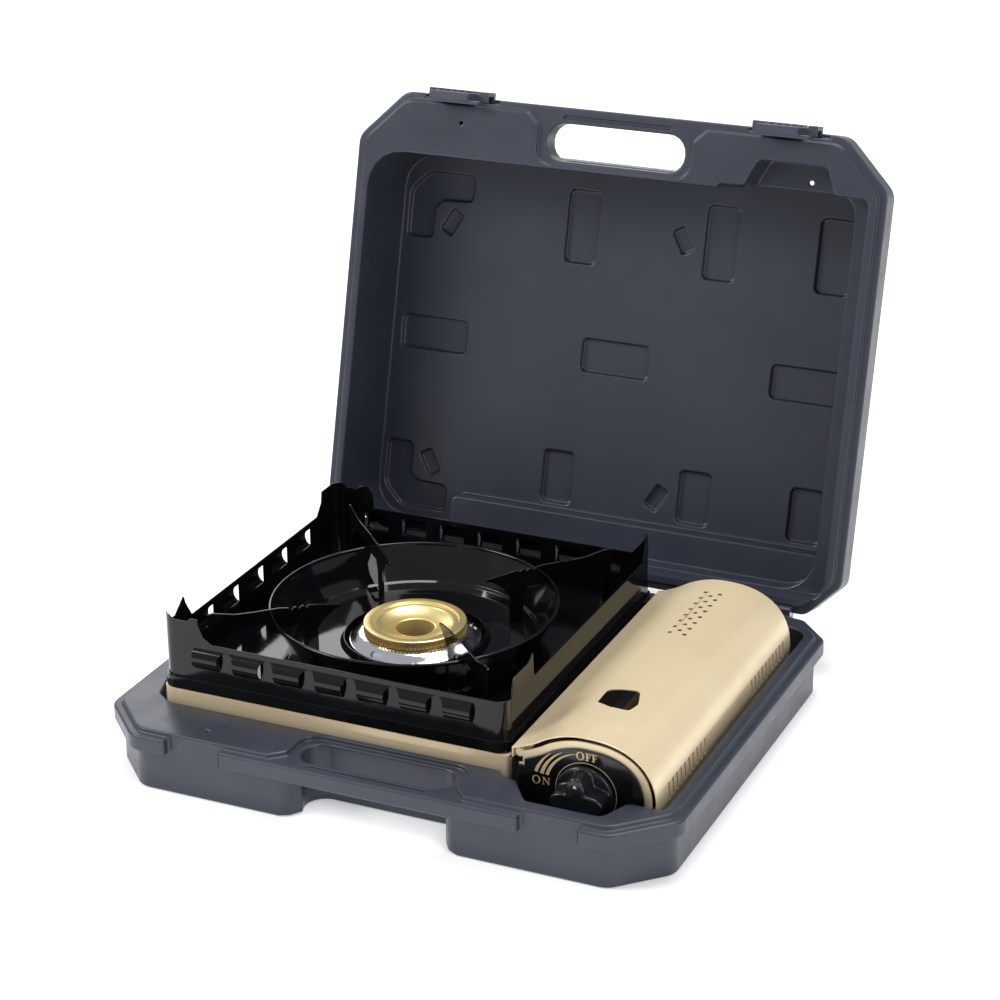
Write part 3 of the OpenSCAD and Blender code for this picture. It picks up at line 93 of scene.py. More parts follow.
def aimCamera(view):
    az, el, roll = (radians(view[k]) for k in ("azimuth", "elevation", "roll"))
    look = Vector((-sin(az) * cos(el), cos(az) * cos(el), -sin(el)))
    right = Vector((cos(az), sin(az), 0))
    up = right.cross(look)
    across = cos(roll) * right + sin(roll) * up
    upright = -sin(roll) * right + cos(roll) * up
    data = bpy.data.cameras.new("photoCamera")
    data.lens = view["focal"]
    data.sensor_width = 36
    data.clip_start = 0.05
    data.clip_end = 60
    camera = addObject("photoCamera", data)
    turn = Matrix((across, upright, -look)).transposed().to_4x4()
    camera.matrix_world = Matrix.Translation(view["place"]) @ turn
    bpy.context.scene.camera = camera


aimCamera(photoView)
print("camera set")


# ---- materials ----
def screenColor(red, green, blue):
    # 0 to 255 as seen on screen, made linear
    steps = [c / 255 for c in (red, green, blue)]
    return tuple(c / 12.92 if c <= 0.04045 else ((c + 0.055) / 1.055) ** 2.4 for c in steps) + (1,)


def addNode(tree, kind, inputs=None, **settings):
    made = tree.nodes.new("ShaderNode" + kind)
    for key, value in settings.items():
        setattr(made, key, value)
    for key, value in (inputs or {}).items():
        made.inputs[key].default_value = value
    return made


def objectCoords(tree, stretch, centre):
    coords = addNode(tree, "TexCoord")
    mapping = addNode(tree, "Mapping", {"Location": [-c * s for c, s in zip(centre, stretch)],
                                        "Scale": stretch})
    tree.links.new(coords.outputs["Object"], mapping.inputs["Vector"])
    return mapping.outputs["Vector"]


def addNoise(tree, vector, size, detail=2, rough=0.5):
    # size is the width of one patch, in millimetres
    noise = addNode(tree, "TexNoise", {"Scale": 1 / (size * mm), "Detail": detail, "Roughness": rough})
    tree.links.new(vector, noise.inputs["Vector"])
    return noise.outputs["Fac"]


def spread(tree, value, low, high):
    # noise lies mostly between 0.3 and 0.7
    scaled = addNode(tree, "MapRange", {"From Min": 0.3, "From Max": 0.7, "To Min": low, "To Max": high})
    tree.links.new(value, scaled.inputs["Value"])
    return scaled.outputs["Result"]


def blendColors(tree, factor, first, second):
    mix = addNode(tree, "Mix", data_type="RGBA")
    mix.inputs[6].default_value = first
    mix.inputs[7].default_value = second
    tree.links.new(factor, mix.inputs[0])
    return mix.outputs[2]


def addBump(tree, height, depth, below=None):
    # depth in millimetres, laid over the bump below it
    bump = addNode(tree, "Bump", {"Strength": 1, "Distance": depth * mm})
    tree.links.new(height, bump.inputs["Height"])
    if below:
        tree.links.new(below, bump.inputs["Normal"])
    return bump.outputs["Normal"]


def makeFinish(name, look):
    # one recipe for every finish: slow colour change, uneven gloss, bumps and turning marks
    material = bpy.data.materials.new(name)
    material.use_nodes = True
    tree = material.node_tree
    shader = tree.nodes["Principled BSDF"]
    for socket, key in (("Metallic", "metal"), ("Coat Weight", "coat"), ("Coat Roughness", "coatRough"),
                        ("Specular IOR Level", "specular")):
        if key in look:
            shader.inputs[socket].default_value = look[key]
    vector = objectCoords(tree, look.get("stretch", (1, 1, 1)), look.get("centre", (0, 0, 0)))
    clouds = addNoise(tree, vector, look.get("cloud", 60), 3)
    color = blendColors(tree, spread(tree, clouds, 0, 1), look["color"], look["shade"])
    tree.links.new(color, shader.inputs["Base Color"])
    gloss = addNoise(tree, vector, look.get("glossPatch", 18), 4, 0.6)
    tree.links.new(spread(tree, gloss, look["rough"][0], look["rough"][1]), shader.inputs["Roughness"])
    normal = None
    for size, depth, detail in look.get("bumps", ()):
        normal = addBump(tree, addNoise(tree, vector, size, detail), depth, normal)
    if "rings" in look:
        scale = 2 * pi / (20 * look["rings"] * mm)      # rings is the pitch in millimetres
        wave = addNode(tree, "TexWave", {"Scale": scale, "Distortion": 0.6, "Detail": 2, "Detail Scale": 3},
                       wave_type="RINGS", rings_direction="Z")
        tree.links.new(vector, wave.inputs["Vector"])
        normal = addBump(tree, wave.outputs["Fac"], look["ringDepth"], normal)
    if normal:
        tree.links.new(normal, shader.inputs["Normal"])
    return material


# depths and patch sizes in millimetres; bumps are patch size, depth and detail
finishes = {
    "case_plastic": {"color": screenColor(50, 54, 66), "shade": screenColor(44, 48, 59),
                     "rough": (0.31, 0.41),
                     "cloud": 90, "bumps": ((38, 0.12, 2), (0.9, 0.016, 3))},
    "latch_plastic": {"color": screenColor(60, 64, 77), "shade": screenColor(54, 58, 70),
                      "rough": (0.34, 0.46),
                      "bumps": ((0.9, 0.015, 3),)},
    "gold_paint": {"color": screenColor(229, 210, 173), "shade": screenColor(224, 204, 165), "metal": 0.3,
                   "rough": (0.28, 0.36), "coat": 0.25, "coatRough": 0.2, "cloud": 70,
                   "bumps": ((14, 0.01, 2), (0.5, 0.003, 2))},
    "black_enamel": {"color": screenColor(12, 12, 15), "shade": screenColor(8, 8, 10), "rough": (0.05, 0.11),
                     "specular": 0.34, "bumps": ((9, 0.03, 2), (1.6, 0.003, 2))},
    "black_gloss": {"color": screenColor(15, 15, 17), "shade": screenColor(11, 11, 12), "rough": (0.10, 0.16),
                    "bumps": ((4, 0.004, 2),)},
    "knob_plastic": {"color": screenColor(24, 25, 29), "shade": screenColor(19, 20, 23),
                     "rough": (0.14, 0.22),
                     "bumps": ((3, 0.004, 2),)},
    "bright_steel": {"color": screenColor(196, 197, 200), "shade": screenColor(178, 180, 184), "metal": 1.0,
                     "rough": (0.18, 0.3), "cloud": 6, "glossPatch": 3, "bumps": ((0.7, 0.002, 3),)},
    "plain_steel": {"color": screenColor(172, 174, 178), "shade": screenColor(150, 152, 157), "metal": 1.0,
                    "rough": (0.28, 0.45), "cloud": 14, "glossPatch": 5, "stretch": (1, 0.12, 1),
                    "bumps": ((0.5, 0.003, 3),)},
    "chrome": {"color": screenColor(222, 224, 228), "shade": screenColor(206, 208, 213), "metal": 1.0,
               "rough": (0.08, 0.16), "centre": (burnerX, burnerY, 0), "rings": 1.1, "ringDepth": 0.004},
    "cast_aluminium": {"color": screenColor(176, 177, 180), "shade": screenColor(150, 151, 155), "metal": 0.9,
                       "rough": (0.42, 0.58), "cloud": 12, "bumps": ((1.1, 0.05, 4),)},
    "brass": {"color": screenColor(254, 232, 168), "shade": screenColor(250, 223, 150), "metal": 0.85,
              "rough": (0.26, 0.36), "cloud": 9, "centre": (burnerX, burnerY, 0), "rings": 0.55,
              "ringDepth": 0.003, "bumps": ((0.6, 0.001, 2),)},
    "copper_pipe": {"color": screenColor(206, 132, 92), "shade": screenColor(178, 104, 70), "metal": 1.0,
                    "rough": (0.25, 0.4), "cloud": 16, "bumps": ((2, 0.006, 3),)},
    "rubber_black": {"color": screenColor(34, 34, 35), "shade": screenColor(28, 28, 29), "rough": (0.7, 0.85),
                     "bumps": ((0.6, 0.02, 3),)},
    "igniter_plastic": {"color": screenColor(38, 38, 40), "shade": screenColor(31, 31, 33),
                        "rough": (0.4, 0.55),
                        "bumps": ((0.7, 0.01, 3),)},
    "push_plastic": {"color": screenColor(176, 44, 34), "shade": screenColor(160, 36, 28),
                     "rough": (0.35, 0.45),
                     "bumps": ((0.8, 0.006, 2),)},
    "white_ceramic": {"color": screenColor(236, 233, 224), "shade": screenColor(226, 221, 208),
                      "rough": (0.35, 0.55), "cloud": 5, "bumps": ((0.5, 0.01, 3),)},
    "lead_rubber": {"color": screenColor(152, 34, 28), "shade": screenColor(136, 28, 23),
                    "rough": (0.5, 0.62),
                    "cloud": 20, "bumps": ((0.8, 0.01, 3),)},
    "magnet": {"color": screenColor(120, 121, 126), "shade": screenColor(104, 105, 110), "metal": 0.8,
               "rough": (0.3, 0.42), "cloud": 5, "bumps": ((0.8, 0.006, 3),)},
    "gold_print": {"color": screenColor(205, 184, 140), "shade": screenColor(196, 174, 130), "metal": 0.3,
                   "rough": (0.32, 0.4), "cloud": 4, "bumps": ((0.4, 0.002, 2),)},
}
materials = {name: makeFinish(name, look) for name, look in finishes.items()}
for name, node in nodes.items():
    node.data.materials.clear()
    node.data.materials.append(materials[slotOf[name]])
print("materials made:", len(materials))


# ---- soft-edged copies of the frame's pieces ----
def bridgeAngle(edge):
    # smallest angle between a flat edge and the creases that it meets
    smallest = pi
    for vert in edge.verts:
        along = edge.other_vert(vert).co - vert.co
        for other in vert.link_edges:
            if other != edge and other.calc_face_angle(0) > flatTurn:
                smallest = min(smallest, along.angle(other.other_vert(vert).co - vert.co, pi))
    return smallest


def joinFlats(mesh):
    # joins coplanar faces, edges nearly along a crease first, so that those left cross the flats steeply
    flat = [e for e in mesh.edges if len(e.link_faces) == 2 and e.calc_face_angle(0) < flatTurn]
    ranked = [(bridgeAngle(e), -e.calc_length(), e) for e in flat]
    for _, _, edge in sorted(ranked, key=lambda row: row[:2]):
        if not edge.is_valid or len(edge.link_faces) != 2:
            continue
        first, second = edge.link_faces
        shared = set(first.verts) & set(second.verts)
        if len(shared) == 2 and first.normal.angle(second.normal, 0) < flatTurn:
            bmesh.utils.face_join([first, second], True)


# grooves between a latch's ribs, in the closed lid's frame: left end of each latch, rib width, pitch and
# count, then the grooves' reach in y and z
hinge = {"y": 161 * mm, "z": 42 * mm, "open": -105, "seam": 0.4 * mm}
lidTurn = (Matrix.Translation((0, hinge["y"], hinge["z"])) @ Matrix.Rotation(radians(hinge["open"]), 4, "X")
           @ Matrix.Translation((0, -hinge["y"], hinge["seam"])))
comb = {"latch_left": -144.0, "latch_right": 96.0, "rib": 2.6, "pitch": 5.4, "count": 6,
        "y": (-164.5, -163.0), "z": (2.5, 15.5)}


def cutBoxes(mesh, boxes, turn):
    # takes boxes in millimetres, placed by a matrix, out of a mesh
    cutter = bmesh.new()
    for low, high in boxes:
        middle = [(a + b) / 2 * mm for a, b in zip(low, high)]
        sizes = [(b - a) * mm for a, b in zip(low, high)]
        place = turn @ Matrix.Translation(middle) @ Matrix.Diagonal(sizes + [1])
        bmesh.ops.create_cube(cutter, size=1, matrix=place)
    holders = [meshObject(part, "cutting") for part in (mesh, cutter)]
    cut = holders[0].modifiers.new("cut", "BOOLEAN")
    cut.object, cut.operation, cut.solver = holders[1], "DIFFERENCE", "EXACT"
    result = evaluatedMesh(holders[0])
    for holder in holders:
        dropObject(holder)
    return result


def combGrooves(left):
    boxes = []
    for i in range(comb["count"]):
        start = left + comb["rib"] + comb["pitch"] * i
        end = start + comb["pitch"] - comb["rib"]
        boxes.append(((start, comb["y"][0], comb["z"][0]), (end, comb["y"][1], comb["z"][1])))
    return boxes


def nodeMesh(name):
    mesh = bmesh.new()
    mesh.from_mesh(nodes[name].data)
    bmesh.ops.remove_doubles(mesh, verts=mesh.verts, dist=mergeGap)
    return mesh


def mergedCopy(name):
    mesh = nodeMesh(name)
    if name in comb:
        mesh = cutBoxes(mesh, combGrooves(comb[name]), lidTurn)
        bmesh.ops.remove_doubles(mesh, verts=mesh.verts, dist=mergeGap)
    bmesh.ops.dissolve_degenerate(mesh, dist=mergeGap / 2, edges=mesh.edges)
    mesh.normal_update()
    joinFlats(mesh)
    straight = [v for v in mesh.verts if len(v.link_edges) == 2 and v.calc_edge_angle(0) < flatTurn]
    bmesh.ops.dissolve_verts(mesh, verts=straight)
    mesh.normal_update()
    return mesh


def flatRegions(mesh):
    # number of the flat region that each face is in, and each region's border edges
    region, borders = {}, []
    for start in mesh.faces:
        if start.index in region:
            continue
        label, border, waiting = len(borders), [], [start]
        region[start.index] = label
        while waiting:
            face = waiting.pop()
            for edge in face.edges:
                flat = len(edge.link_faces) == 2 and edge.calc_face_angle(0) < radians(1)
                if not flat:
                    border.append(edge)
                    continue
                for other in edge.link_faces:
                    if other.index not in region:
                        region[other.index] = label
                        waiting.append(other)
        borders.append(border)
    return region, borders


def roomBeside(edge, face, border):
    # how far the flat face reaches from the edge before it meets its own border again
    start, end = edge.verts[0].co, edge.verts[1].co
    along = (end - start).normalized()
    inward = face.normal.cross(along)
    if (face.calc_center_median() - start).dot(inward) < 0:
        inward.negate()
    room = 1.0
    for share in (0.1, 0.5, 0.9):
        origin = start.lerp(end, share)
        for other in border:
            if other == edge:
                continue
            first, second = other.verts[0].co - origin, other.verts[1].co - origin
            u1, u2 = first.dot(along), second.dot(along)
            if (u1 > 0) == (u2 > 0) or abs(u1 - u2) < 1e-9:
                continue
            reach = first.dot(inward) + (second.dot(inward) - first.dot(inward)) * u1 / (u1 - u2)
            if 1e-6 < reach < room:
                room = reach
    return room


def edgeWeights(mesh, weights, region, borders, width, still):
    # each edge sharper than 30 degrees is rounded as far as the faces beside it have room
    for edge in [e for e in mesh.edges if len(e.link_faces) == 2 and e.calc_face_angle(0) > radians(30)]:
        middle = (edge.verts[0].co + edge.verts[1].co) / 2 / mm
        if any(all(lo <= c <= hi for lo, c, hi in zip(low, middle, high)) for low, high in still):
            continue
        room = min(roomBeside(edge, face, borders[region[face.index]]) for face in edge.link_faces)
        edge[weights] = min(1, max(0.05, room / (2.4 * width * mm)))      # two roundings fit side by side


def insideLines(point, corners, lines):
    # whether a ray to the right crosses the lines an odd number of times
    inside = False
    for start, end in lines:
        (x1, y1), (x2, y2) = corners[start], corners[end]
        if (y1 > point.y) != (y2 > point.y):
            if point.x < x1 + (point.y - y1) / (y2 - y1) * (x2 - x1):
                inside = not inside
    return inside


def fillBorder(border, verts, across, side):
    # triangles of the plane that lie inside the border, with their points in millimetres
    order = {v: i for i, v in enumerate(verts)}
    flat = [Vector((v.co.dot(across), v.co.dot(side))) / mm for v in verts]
    lines = [tuple(order[v] for v in e.verts) for e in border]
    points, _, faces, origins, _, _ = delaunay_2d_cdt(flat, lines, [], 1, 0.0005)
    inner = [f for f in faces if insideLines(sum((points[i] for i in f), Vector((0, 0))) / 3, flat, lines)]
    return points, inner, origins


def refillFlats(mesh, flats):
    # every flat region gets new triangles inside its rounded border; lists and dicts keep the mesh's order,
    # so that each run makes the same triangles
    label = mesh.faces.layers.int["region"]
    groups = {}
    for face in mesh.faces:
        if face.material_index == 0:
            groups.setdefault(face[label], []).append(face)
    for number, group in groups.items():
        if len(group) == 1 and len(group[0].verts) <= 4:
            continue
        normal, area = flats[number]
        across = normal.orthogonal().normalized()
        side = normal.cross(across)
        members = set(group)
        edges = dict.fromkeys(e for f in group for e in f.edges)
        border = [e for e in edges if sum(f in members for f in e.link_faces) == 1]
        verts = list(dict.fromkeys(v for e in border for v in e.verts))
        points, faces, origins = fillBorder(border, verts, across, side)
        size = sum(abs((points[b] - points[a]).cross(points[c] - points[a])) for a, b, c in faces) / 2
        if not 0.2 * area < size * mm * mm < 1.001 * area:
            continue
        depth = verts[0].co.dot(normal)
        made = []
        for point, origin in zip(points, origins):
            made.append(verts[origin[0]] if origin else
                        mesh.verts.new(point.x * mm * across + point.y * mm * side + depth * normal))
        bmesh.ops.delete(mesh, geom=group, context="FACES_KEEP_BOUNDARY")
        for corners in faces:
            ring = [made[i] for i in corners]
            if len(set(ring)) == 3 and all(v.is_valid for v in ring) and not mesh.faces.get(ring):
                turned = (ring[1].co - ring[0].co).cross(ring[2].co - ring[0].co).dot(normal) < 0
                mesh.faces.new(ring[::-1] if turned else ring)


def roundEdges(mesh, width, segments, still):
    # bevels the sharp edges on a holder object; the rounded strips get the second material
    label = mesh.faces.layers.int.new("region")
    weights = mesh.edges.layers.float.new("bevel_weight_edge")
    mesh.faces.index_update()
    region, borders = flatRegions(mesh)
    flats = {}
    for face in mesh.faces:
        face[label] = region[face.index]
        face.material_index = 0
        normal, area = flats.get(face[label], (face.normal.copy(), 0))
        flats[face[label]] = (normal, area + face.calc_area())
    edgeWeights(mesh, weights, region, borders, width, still)
    holder = meshObject(mesh, "rounding")
    for _ in range(2):
        holder.data.materials.append(None)
    soft = holder.modifiers.new("softEdges", "BEVEL")
    soft.limit_method = "WEIGHT"
    soft.width, soft.segments = width * mm, segments
    soft.use_clamp_overlap = False
    soft.loop_slide = False
    soft.material = 1
    result = evaluatedMesh(holder)
    dropObject(holder)
    refillFlats(result, flats)
    result.faces.layers.int.remove(result.faces.layers.int["region"])
    return result


def finishPiece(mesh, name, body, slot, replaced=(), smooth=32, material=None):
    mesh.normal_update()
    for face in mesh.faces:
        face.smooth = True
        face.material_index = 0
    for edge in mesh.edges:
        edge.smooth = not (len(edge.link_faces) == 2 and edge.calc_face_angle(0) > radians(smooth))
    piece = meshObject(mesh, name)
    piece.data.materials.append(materials[material or slot])
    even = piece.modifiers.new("evenNormals", "WEIGHTED_NORMAL")
    even.keep_sharp = True
    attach(piece, body)
    if replaced:
        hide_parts(*replaced)


def softCopy(name, width, segments, still):
    mesh = mergedCopy(name)
    low, high = ([pick(v.co[i] for v in mesh.verts) for i in range(3)] for pick in (min, max))
    if width:
        mesh = roundEdges(mesh, width, segments, still)
    for vert in mesh.verts:      # nothing reaches past the node's own box
        vert.co = [min(max(c, lo), hi) for c, lo, hi in zip(vert.co, low, high)]
    finishPiece(mesh, name + "_soft", bodyOf[name], slotOf[name], (name,))


# edges round the case's hinges stay sharp
hingeRoom = [((x - 34, 150, 20), (x + 34, 175, 70)) for x in (-142, 142)]
stillPlaces = {"case_base": hingeRoom, "case_lid": hingeRoom}
# width of the rounding in millimetres and its segments
softPieces = {
    "case_base": (1.6, 3), "case_lid": (1.4, 3), "latch_left": (0.5, 2), "latch_right": (0.5, 2),
    "body_pan": (0.3, 2), "front_panel": (0.35, 2), "rear_panel": (0.25, 1), "control_fascia": (0.3, 2),
    "cartridge_cover": (0.25, 2), "drip_tray": (0.25, 2), "wind_ring": (0.25, 2),
    "pan_support_front_left": (0.35, 2), "pan_support_front_right": (0.35, 2),
    "pan_support_rear_left": (0.35, 2), "pan_support_rear_right": (0.35, 2),
    "burner_body": (0.3, 2), "burner_cone": (0.2, 2), "gas_regulator": (0.6, 2),
    "igniter_lead": (0, 1), "gas_pipe": (0, 1), "heat_shield": (0.2, 1), "cartridge_socket": (0.3, 2),
    "holder_magnets": (0.4, 2), "igniter_unit": (0.4, 2), "ignition_cam": (0.2, 1),
    "case_hinge_pins": (0.4, 2), "cover_hinge_pins": (0.2, 2), "knob_spindle": (0.3, 2),
    "regulator_cap": (0.5, 2), "cartridge_rails": (0.4, 2), "heat_panel": (0.2, 1),
    "igniter_plunger": (0.3, 2), "electrode_insulator": (0.25, 2), "gas_jet": (0.2, 1),
    "jet_bracket": (0.25, 1), "burner_bracket": (0.25, 1),
    "support_rivets": (0.45, 3), "rubber_feet": (0.8, 3), "lead_clips": (0, 1),
}
for name, (width, segments) in softPieces.items():
    softCopy(name, width, segments, stillPlaces.get(name, ()))
print("soft copies made:", len(softPieces))


# ---- pieces shaped here ----
def joinRows(mesh, lows, highs):
    # quads between each row of points and the next
    count = len(lows[0])
    for low, high in zip(lows, highs):
        for i in range(count):
            j = (i + 1) % count
            mesh.faces.new((low[i], low[j], high[j], high[i]))


def skinRings(rings, mesh=None):
    # quads between rings of equally many points, with both ends closed by fans
    mesh = mesh or bmesh.new()
    rows = [[mesh.verts.new(point) for point in ring] for ring in rings]
    joinRows(mesh, rows, rows[1:])
    for row in (rows[0], rows[-1]):
        count = len(row)
        middle = mesh.verts.new(sum((v.co for v in row), Vector()) / count)
        for i in range(count):
            mesh.faces.new((row[(i + 1) % count], row[i], middle))
    bmesh.ops.recalc_face_normals(mesh, faces=mesh.faces)
    return mesh


def loopRings(rings):
    # quads between rings of equally many points, the last joined to the first
    mesh = bmesh.new()
    rows = [[mesh.verts.new(point) for point in ring] for ring in rings]
    joinRows(mesh, rows, rows[1:] + rows[:1])
    bmesh.ops.recalc_face_normals(mesh, faces=mesh.faces)
    return mesh


# covers the upper part of a hole at the lid's rear left corner, under the step of its back;
# the part below it stays open. In the closed lid's frame
lidCorner = {
    "middle": (-160.0, 127), "inner": 24, "outer": 26.9, "low": 26.9, "high": 30.4,
    "from": 88, "to": 182, "steps": 24,
}


def lidCornerRings(shape):
    x, y = shape["middle"]
    corners = ((shape["inner"], shape["low"]), (shape["inner"], shape["high"]),
               (shape["outer"], shape["high"]), (shape["outer"], shape["low"]))
    rings = []
    for i in range(shape["steps"] + 1):
        turn = radians(shape["from"] + (shape["to"] - shape["from"]) * i / shape["steps"])
        ring = [Vector(((x + r * cos(turn)) * mm, (y + r * sin(turn)) * mm, z * mm)) for r, z in corners]
        rings.append([lidTurn @ point for point in ring])
    return rings


finishPiece(skinRings(lidCornerRings(lidCorner)), "case_lid_corner", "case_lid", "case_plastic")

knobGap = 0.6      # between the fascia and the knob's back, in millimetres
knobShape = {
    "points": 192, "skirtRadius": 18.3, "height": 16,
    "footMean": 13.9, "footSwing": 3.7,      # outline where the lobes meet the skirt
    "faceMean": 12.6, "faceSwing": 3.9,      # outline of the front face
    "lobeAngle": 92, "boreRadius": 3.3, "boreDepth": 12.3,
}


def knobRings(shape):
    base = fasciaY / mm - knobGap
    angles = [2 * pi * i / shape["points"] for i in range(shape["points"])]

    def lobed(mean, swing, limit=99):
        wave = [cos(4 * (a - radians(shape["lobeAngle"]))) for a in angles]
        return [min(mean + swing * (w + 0.12 * (1 - w * w)), limit) for w in wave]

    def ring(radii, height):
        return [((knobX / mm + r * cos(a)) * mm, (base - height) * mm, (knobZ / mm + r * sin(a)) * mm)
                for r, a in zip(radii, angles)]

    even = [1] * shape["points"]
    skirt, top = shape["skirtRadius"], shape["height"]
    rings = [ring([shape["boreRadius"] * e for e in even], shape["boreDepth"]),
             ring([shape["boreRadius"] * e for e in even], 0)]
    for inset, height in ((0.9, 0), (0.3, 0.2), (0, 0.7), (0, 2.3), (0.15, 2.8), (0.5, 3.15), (0.9, 3.3)):
        rings.append(ring([(skirt - inset) * e for e in even], height))
    for grow, limit, height in ((1.5, 1.0, 3.3), (0.7, 1.15, 3.45), (0.2, 1.3, 3.9), (0, 1.4, 4.7)):
        rings.append(ring(lobed(shape["footMean"] + grow, shape["footSwing"], skirt - limit), height))
    for share in (0.35, 0.7, 1):
        mean = shape["footMean"] + (shape["faceMean"] + 0.5 - shape["footMean"]) * share
        swing = shape["footSwing"] + (shape["faceSwing"] - shape["footSwing"]) * share
        height = 4.7 + (top - 1.1 - 4.7) * share      # from the fillet to the rim of the face
        rings.append(ring(lobed(mean, swing, skirt - 1.4), height))
    for shrink, drop in ((0.32, 0.75), (0, 0.4), (-0.4, 0.14), (-0.9, 0.02)):
        rings.append(ring(lobed(shape["faceMean"] + shrink, shape["faceSwing"]), top - drop))
    for share, dish in ((0.75, 0.1), (0.5, 0.4), (0.28, 0.6), (0.1, 0.7)):
        edge = lobed(shape["faceMean"] - 0.9, shape["faceSwing"])
        rings.append(ring([r * share for r in edge], top - dish))
    return rings


finishPiece(skinRings(knobRings(knobShape)), "control_knob_lobed", "knob", "knob_plastic",
            ("control_knob",), 40)

screwShapes = {
    # side that the head is on, head radius and height, shank radius, nut radius and its two depths
    "foot_screws": ((0, 0, -1), 3.6, 0.9, 2.0, (3.4, 3.9, 6.3)),
    "burner_screws": ((0, 0, -1), 2.8, 1.2, 1.5, None),
    "rear_panel_screws": ((0, 1, 0), 2.8, 1.2, 1.5, None),
    "fascia_screws": ((0, -1, 0), 2.4, 1.0, 1.2, None),
}


def islandBoxes(name):
    # low and high corner of each separate solid of a node
    mesh = nodeMesh(name)
    left, boxes = set(mesh.verts), []
    for start in mesh.verts:
        if start not in left:
            continue
        left.remove(start)
        island, waiting = [start], [start]
        while waiting:
            for edge in waiting.pop().link_edges:
                for vert in edge.verts:
                    if vert in left:
                        left.remove(vert)
                        island.append(vert)
                        waiting.append(vert)
        boxes.append([Vector(pick(v.co[i] for v in island) for i in range(3)) for pick in (min, max)])
    mesh.free()
    return boxes


def screwMesh(name, side, headRadius, headHeight, shankRadius, nut):
    side = Vector(side)
    across = side.orthogonal().normalized()
    upward = side.cross(across)
    turns = [radians(7.5 * i) for i in range(48)]
    even = [1] * len(turns)
    armTurn = radians(15)      # half the angle under which the end of the cross's arm is seen
    recess = []
    for turn in turns:
        folded = min(turn % (pi / 2), pi / 2 - turn % (pi / 2))
        recess.append(1 / cos(folded) if folded < armTurn + 1e-6 else tan(armTurn) / sin(folded))
    mesh = bmesh.new()
    for low, high in islandBoxes(name):
        top = max(low.dot(side), high.dot(side)) / mm
        depth = abs((high - low).dot(side)) / mm
        middle = (low + high) / 2 / mm
        middle -= side * middle.dot(side)
        cut = 0.56 * headRadius
        steps = [(recess, 0.62 * cut, 0.75 * headHeight), (recess, cut, 0.03)]
        steps += [(even, share * headRadius, drop * headHeight)
                  for share, drop in ((0.7, 0.02), (0.86, 0.12), (0.96, 0.3), (1, 0.5), (1, 1))]
        steps.append((even, shankRadius, headHeight))
        if nut:
            radius, start, end = nut
            steps += [(even, size, down) for size, down in ((shankRadius, start), (radius, start),
                                                            (radius, end), (shankRadius, end))]
        steps.append((even, shankRadius, depth))
        rings = []
        for shares, size, down in steps:
            spokes = [(across * cos(t) + upward * sin(t)) * size * share for t, share in zip(turns, shares)]
            rings.append([(middle + side * (top - down) + spoke) * mm for spoke in spokes])
        skinRings(rings, mesh)
    return mesh


for name, shape in screwShapes.items():
    finishPiece(screwMesh(name, *shape), name + "_cross", bodyOf[name], slotOf[name], (name,), 40)

capShape = {
    "flutes": 80, "rib": 0.4, "fluteDepth": 2.3, "base": 60.4, "radius": 34,
    # radius and height over the base, from the sleeve in the hole round over the top to the underside
    "profile": ((12.8, -12.4), (12.8, 0.2), (12.95, 0.6), (13.4, 0.82), (14.4, 0.98), (16.2, 1.22),
                (18.4, 1.66), (20.4, 2.24), (22.2, 2.9), (23.8, 3.6), (24.6, 3.98), (24.85, 4.18),
                (25.1, 4.5), (25.4, 4.6), (27.0, 4.78), (28.5, 4.95), (28.75, 5.1), (28.9, 5.7),
                (29.1, 6.02), (29.5, 6.18), (31.0, 6.2), (32.7, 6.2), (33.3, 6.12), (33.75, 5.86),
                (33.97, 5.4), (34, 4.3)),
    "ribTop": 4.2, "ribBottom": 0.35,
    "underside": ((33.7, 0.25), (33.4, 0), (28, 0), (13.16, 0), (13.16, -12.4)),
}


def capRings(shape):
    pitch = 2 * pi / shape["flutes"]
    turns = [(i + part) * pitch for i in range(shape["flutes"])
             for part in (0, shape["rib"], shape["rib"] + 0.05, 0.95)]

    def ring(radius, height, depth=0.0):
        points = []
        for i, turn in enumerate(turns):
            r = radius - (depth if i % 4 > 1 else 0)
            points.append((burnerX + r * mm * cos(turn), burnerY + r * mm * sin(turn),
                           (shape["base"] + height) * mm))
        return points

    rings = [ring(*point) for point in shape["profile"]]
    rings += [ring(shape["radius"], shape[end], shape["fluteDepth"]) for end in ("ribTop", "ribBottom")]
    return rings + [ring(*point) for point in shape["underside"]]


finishPiece(loopRings(capRings(capShape)), "burner_cap_fluted", "stove", "brass", ("burner_cap",), 34)

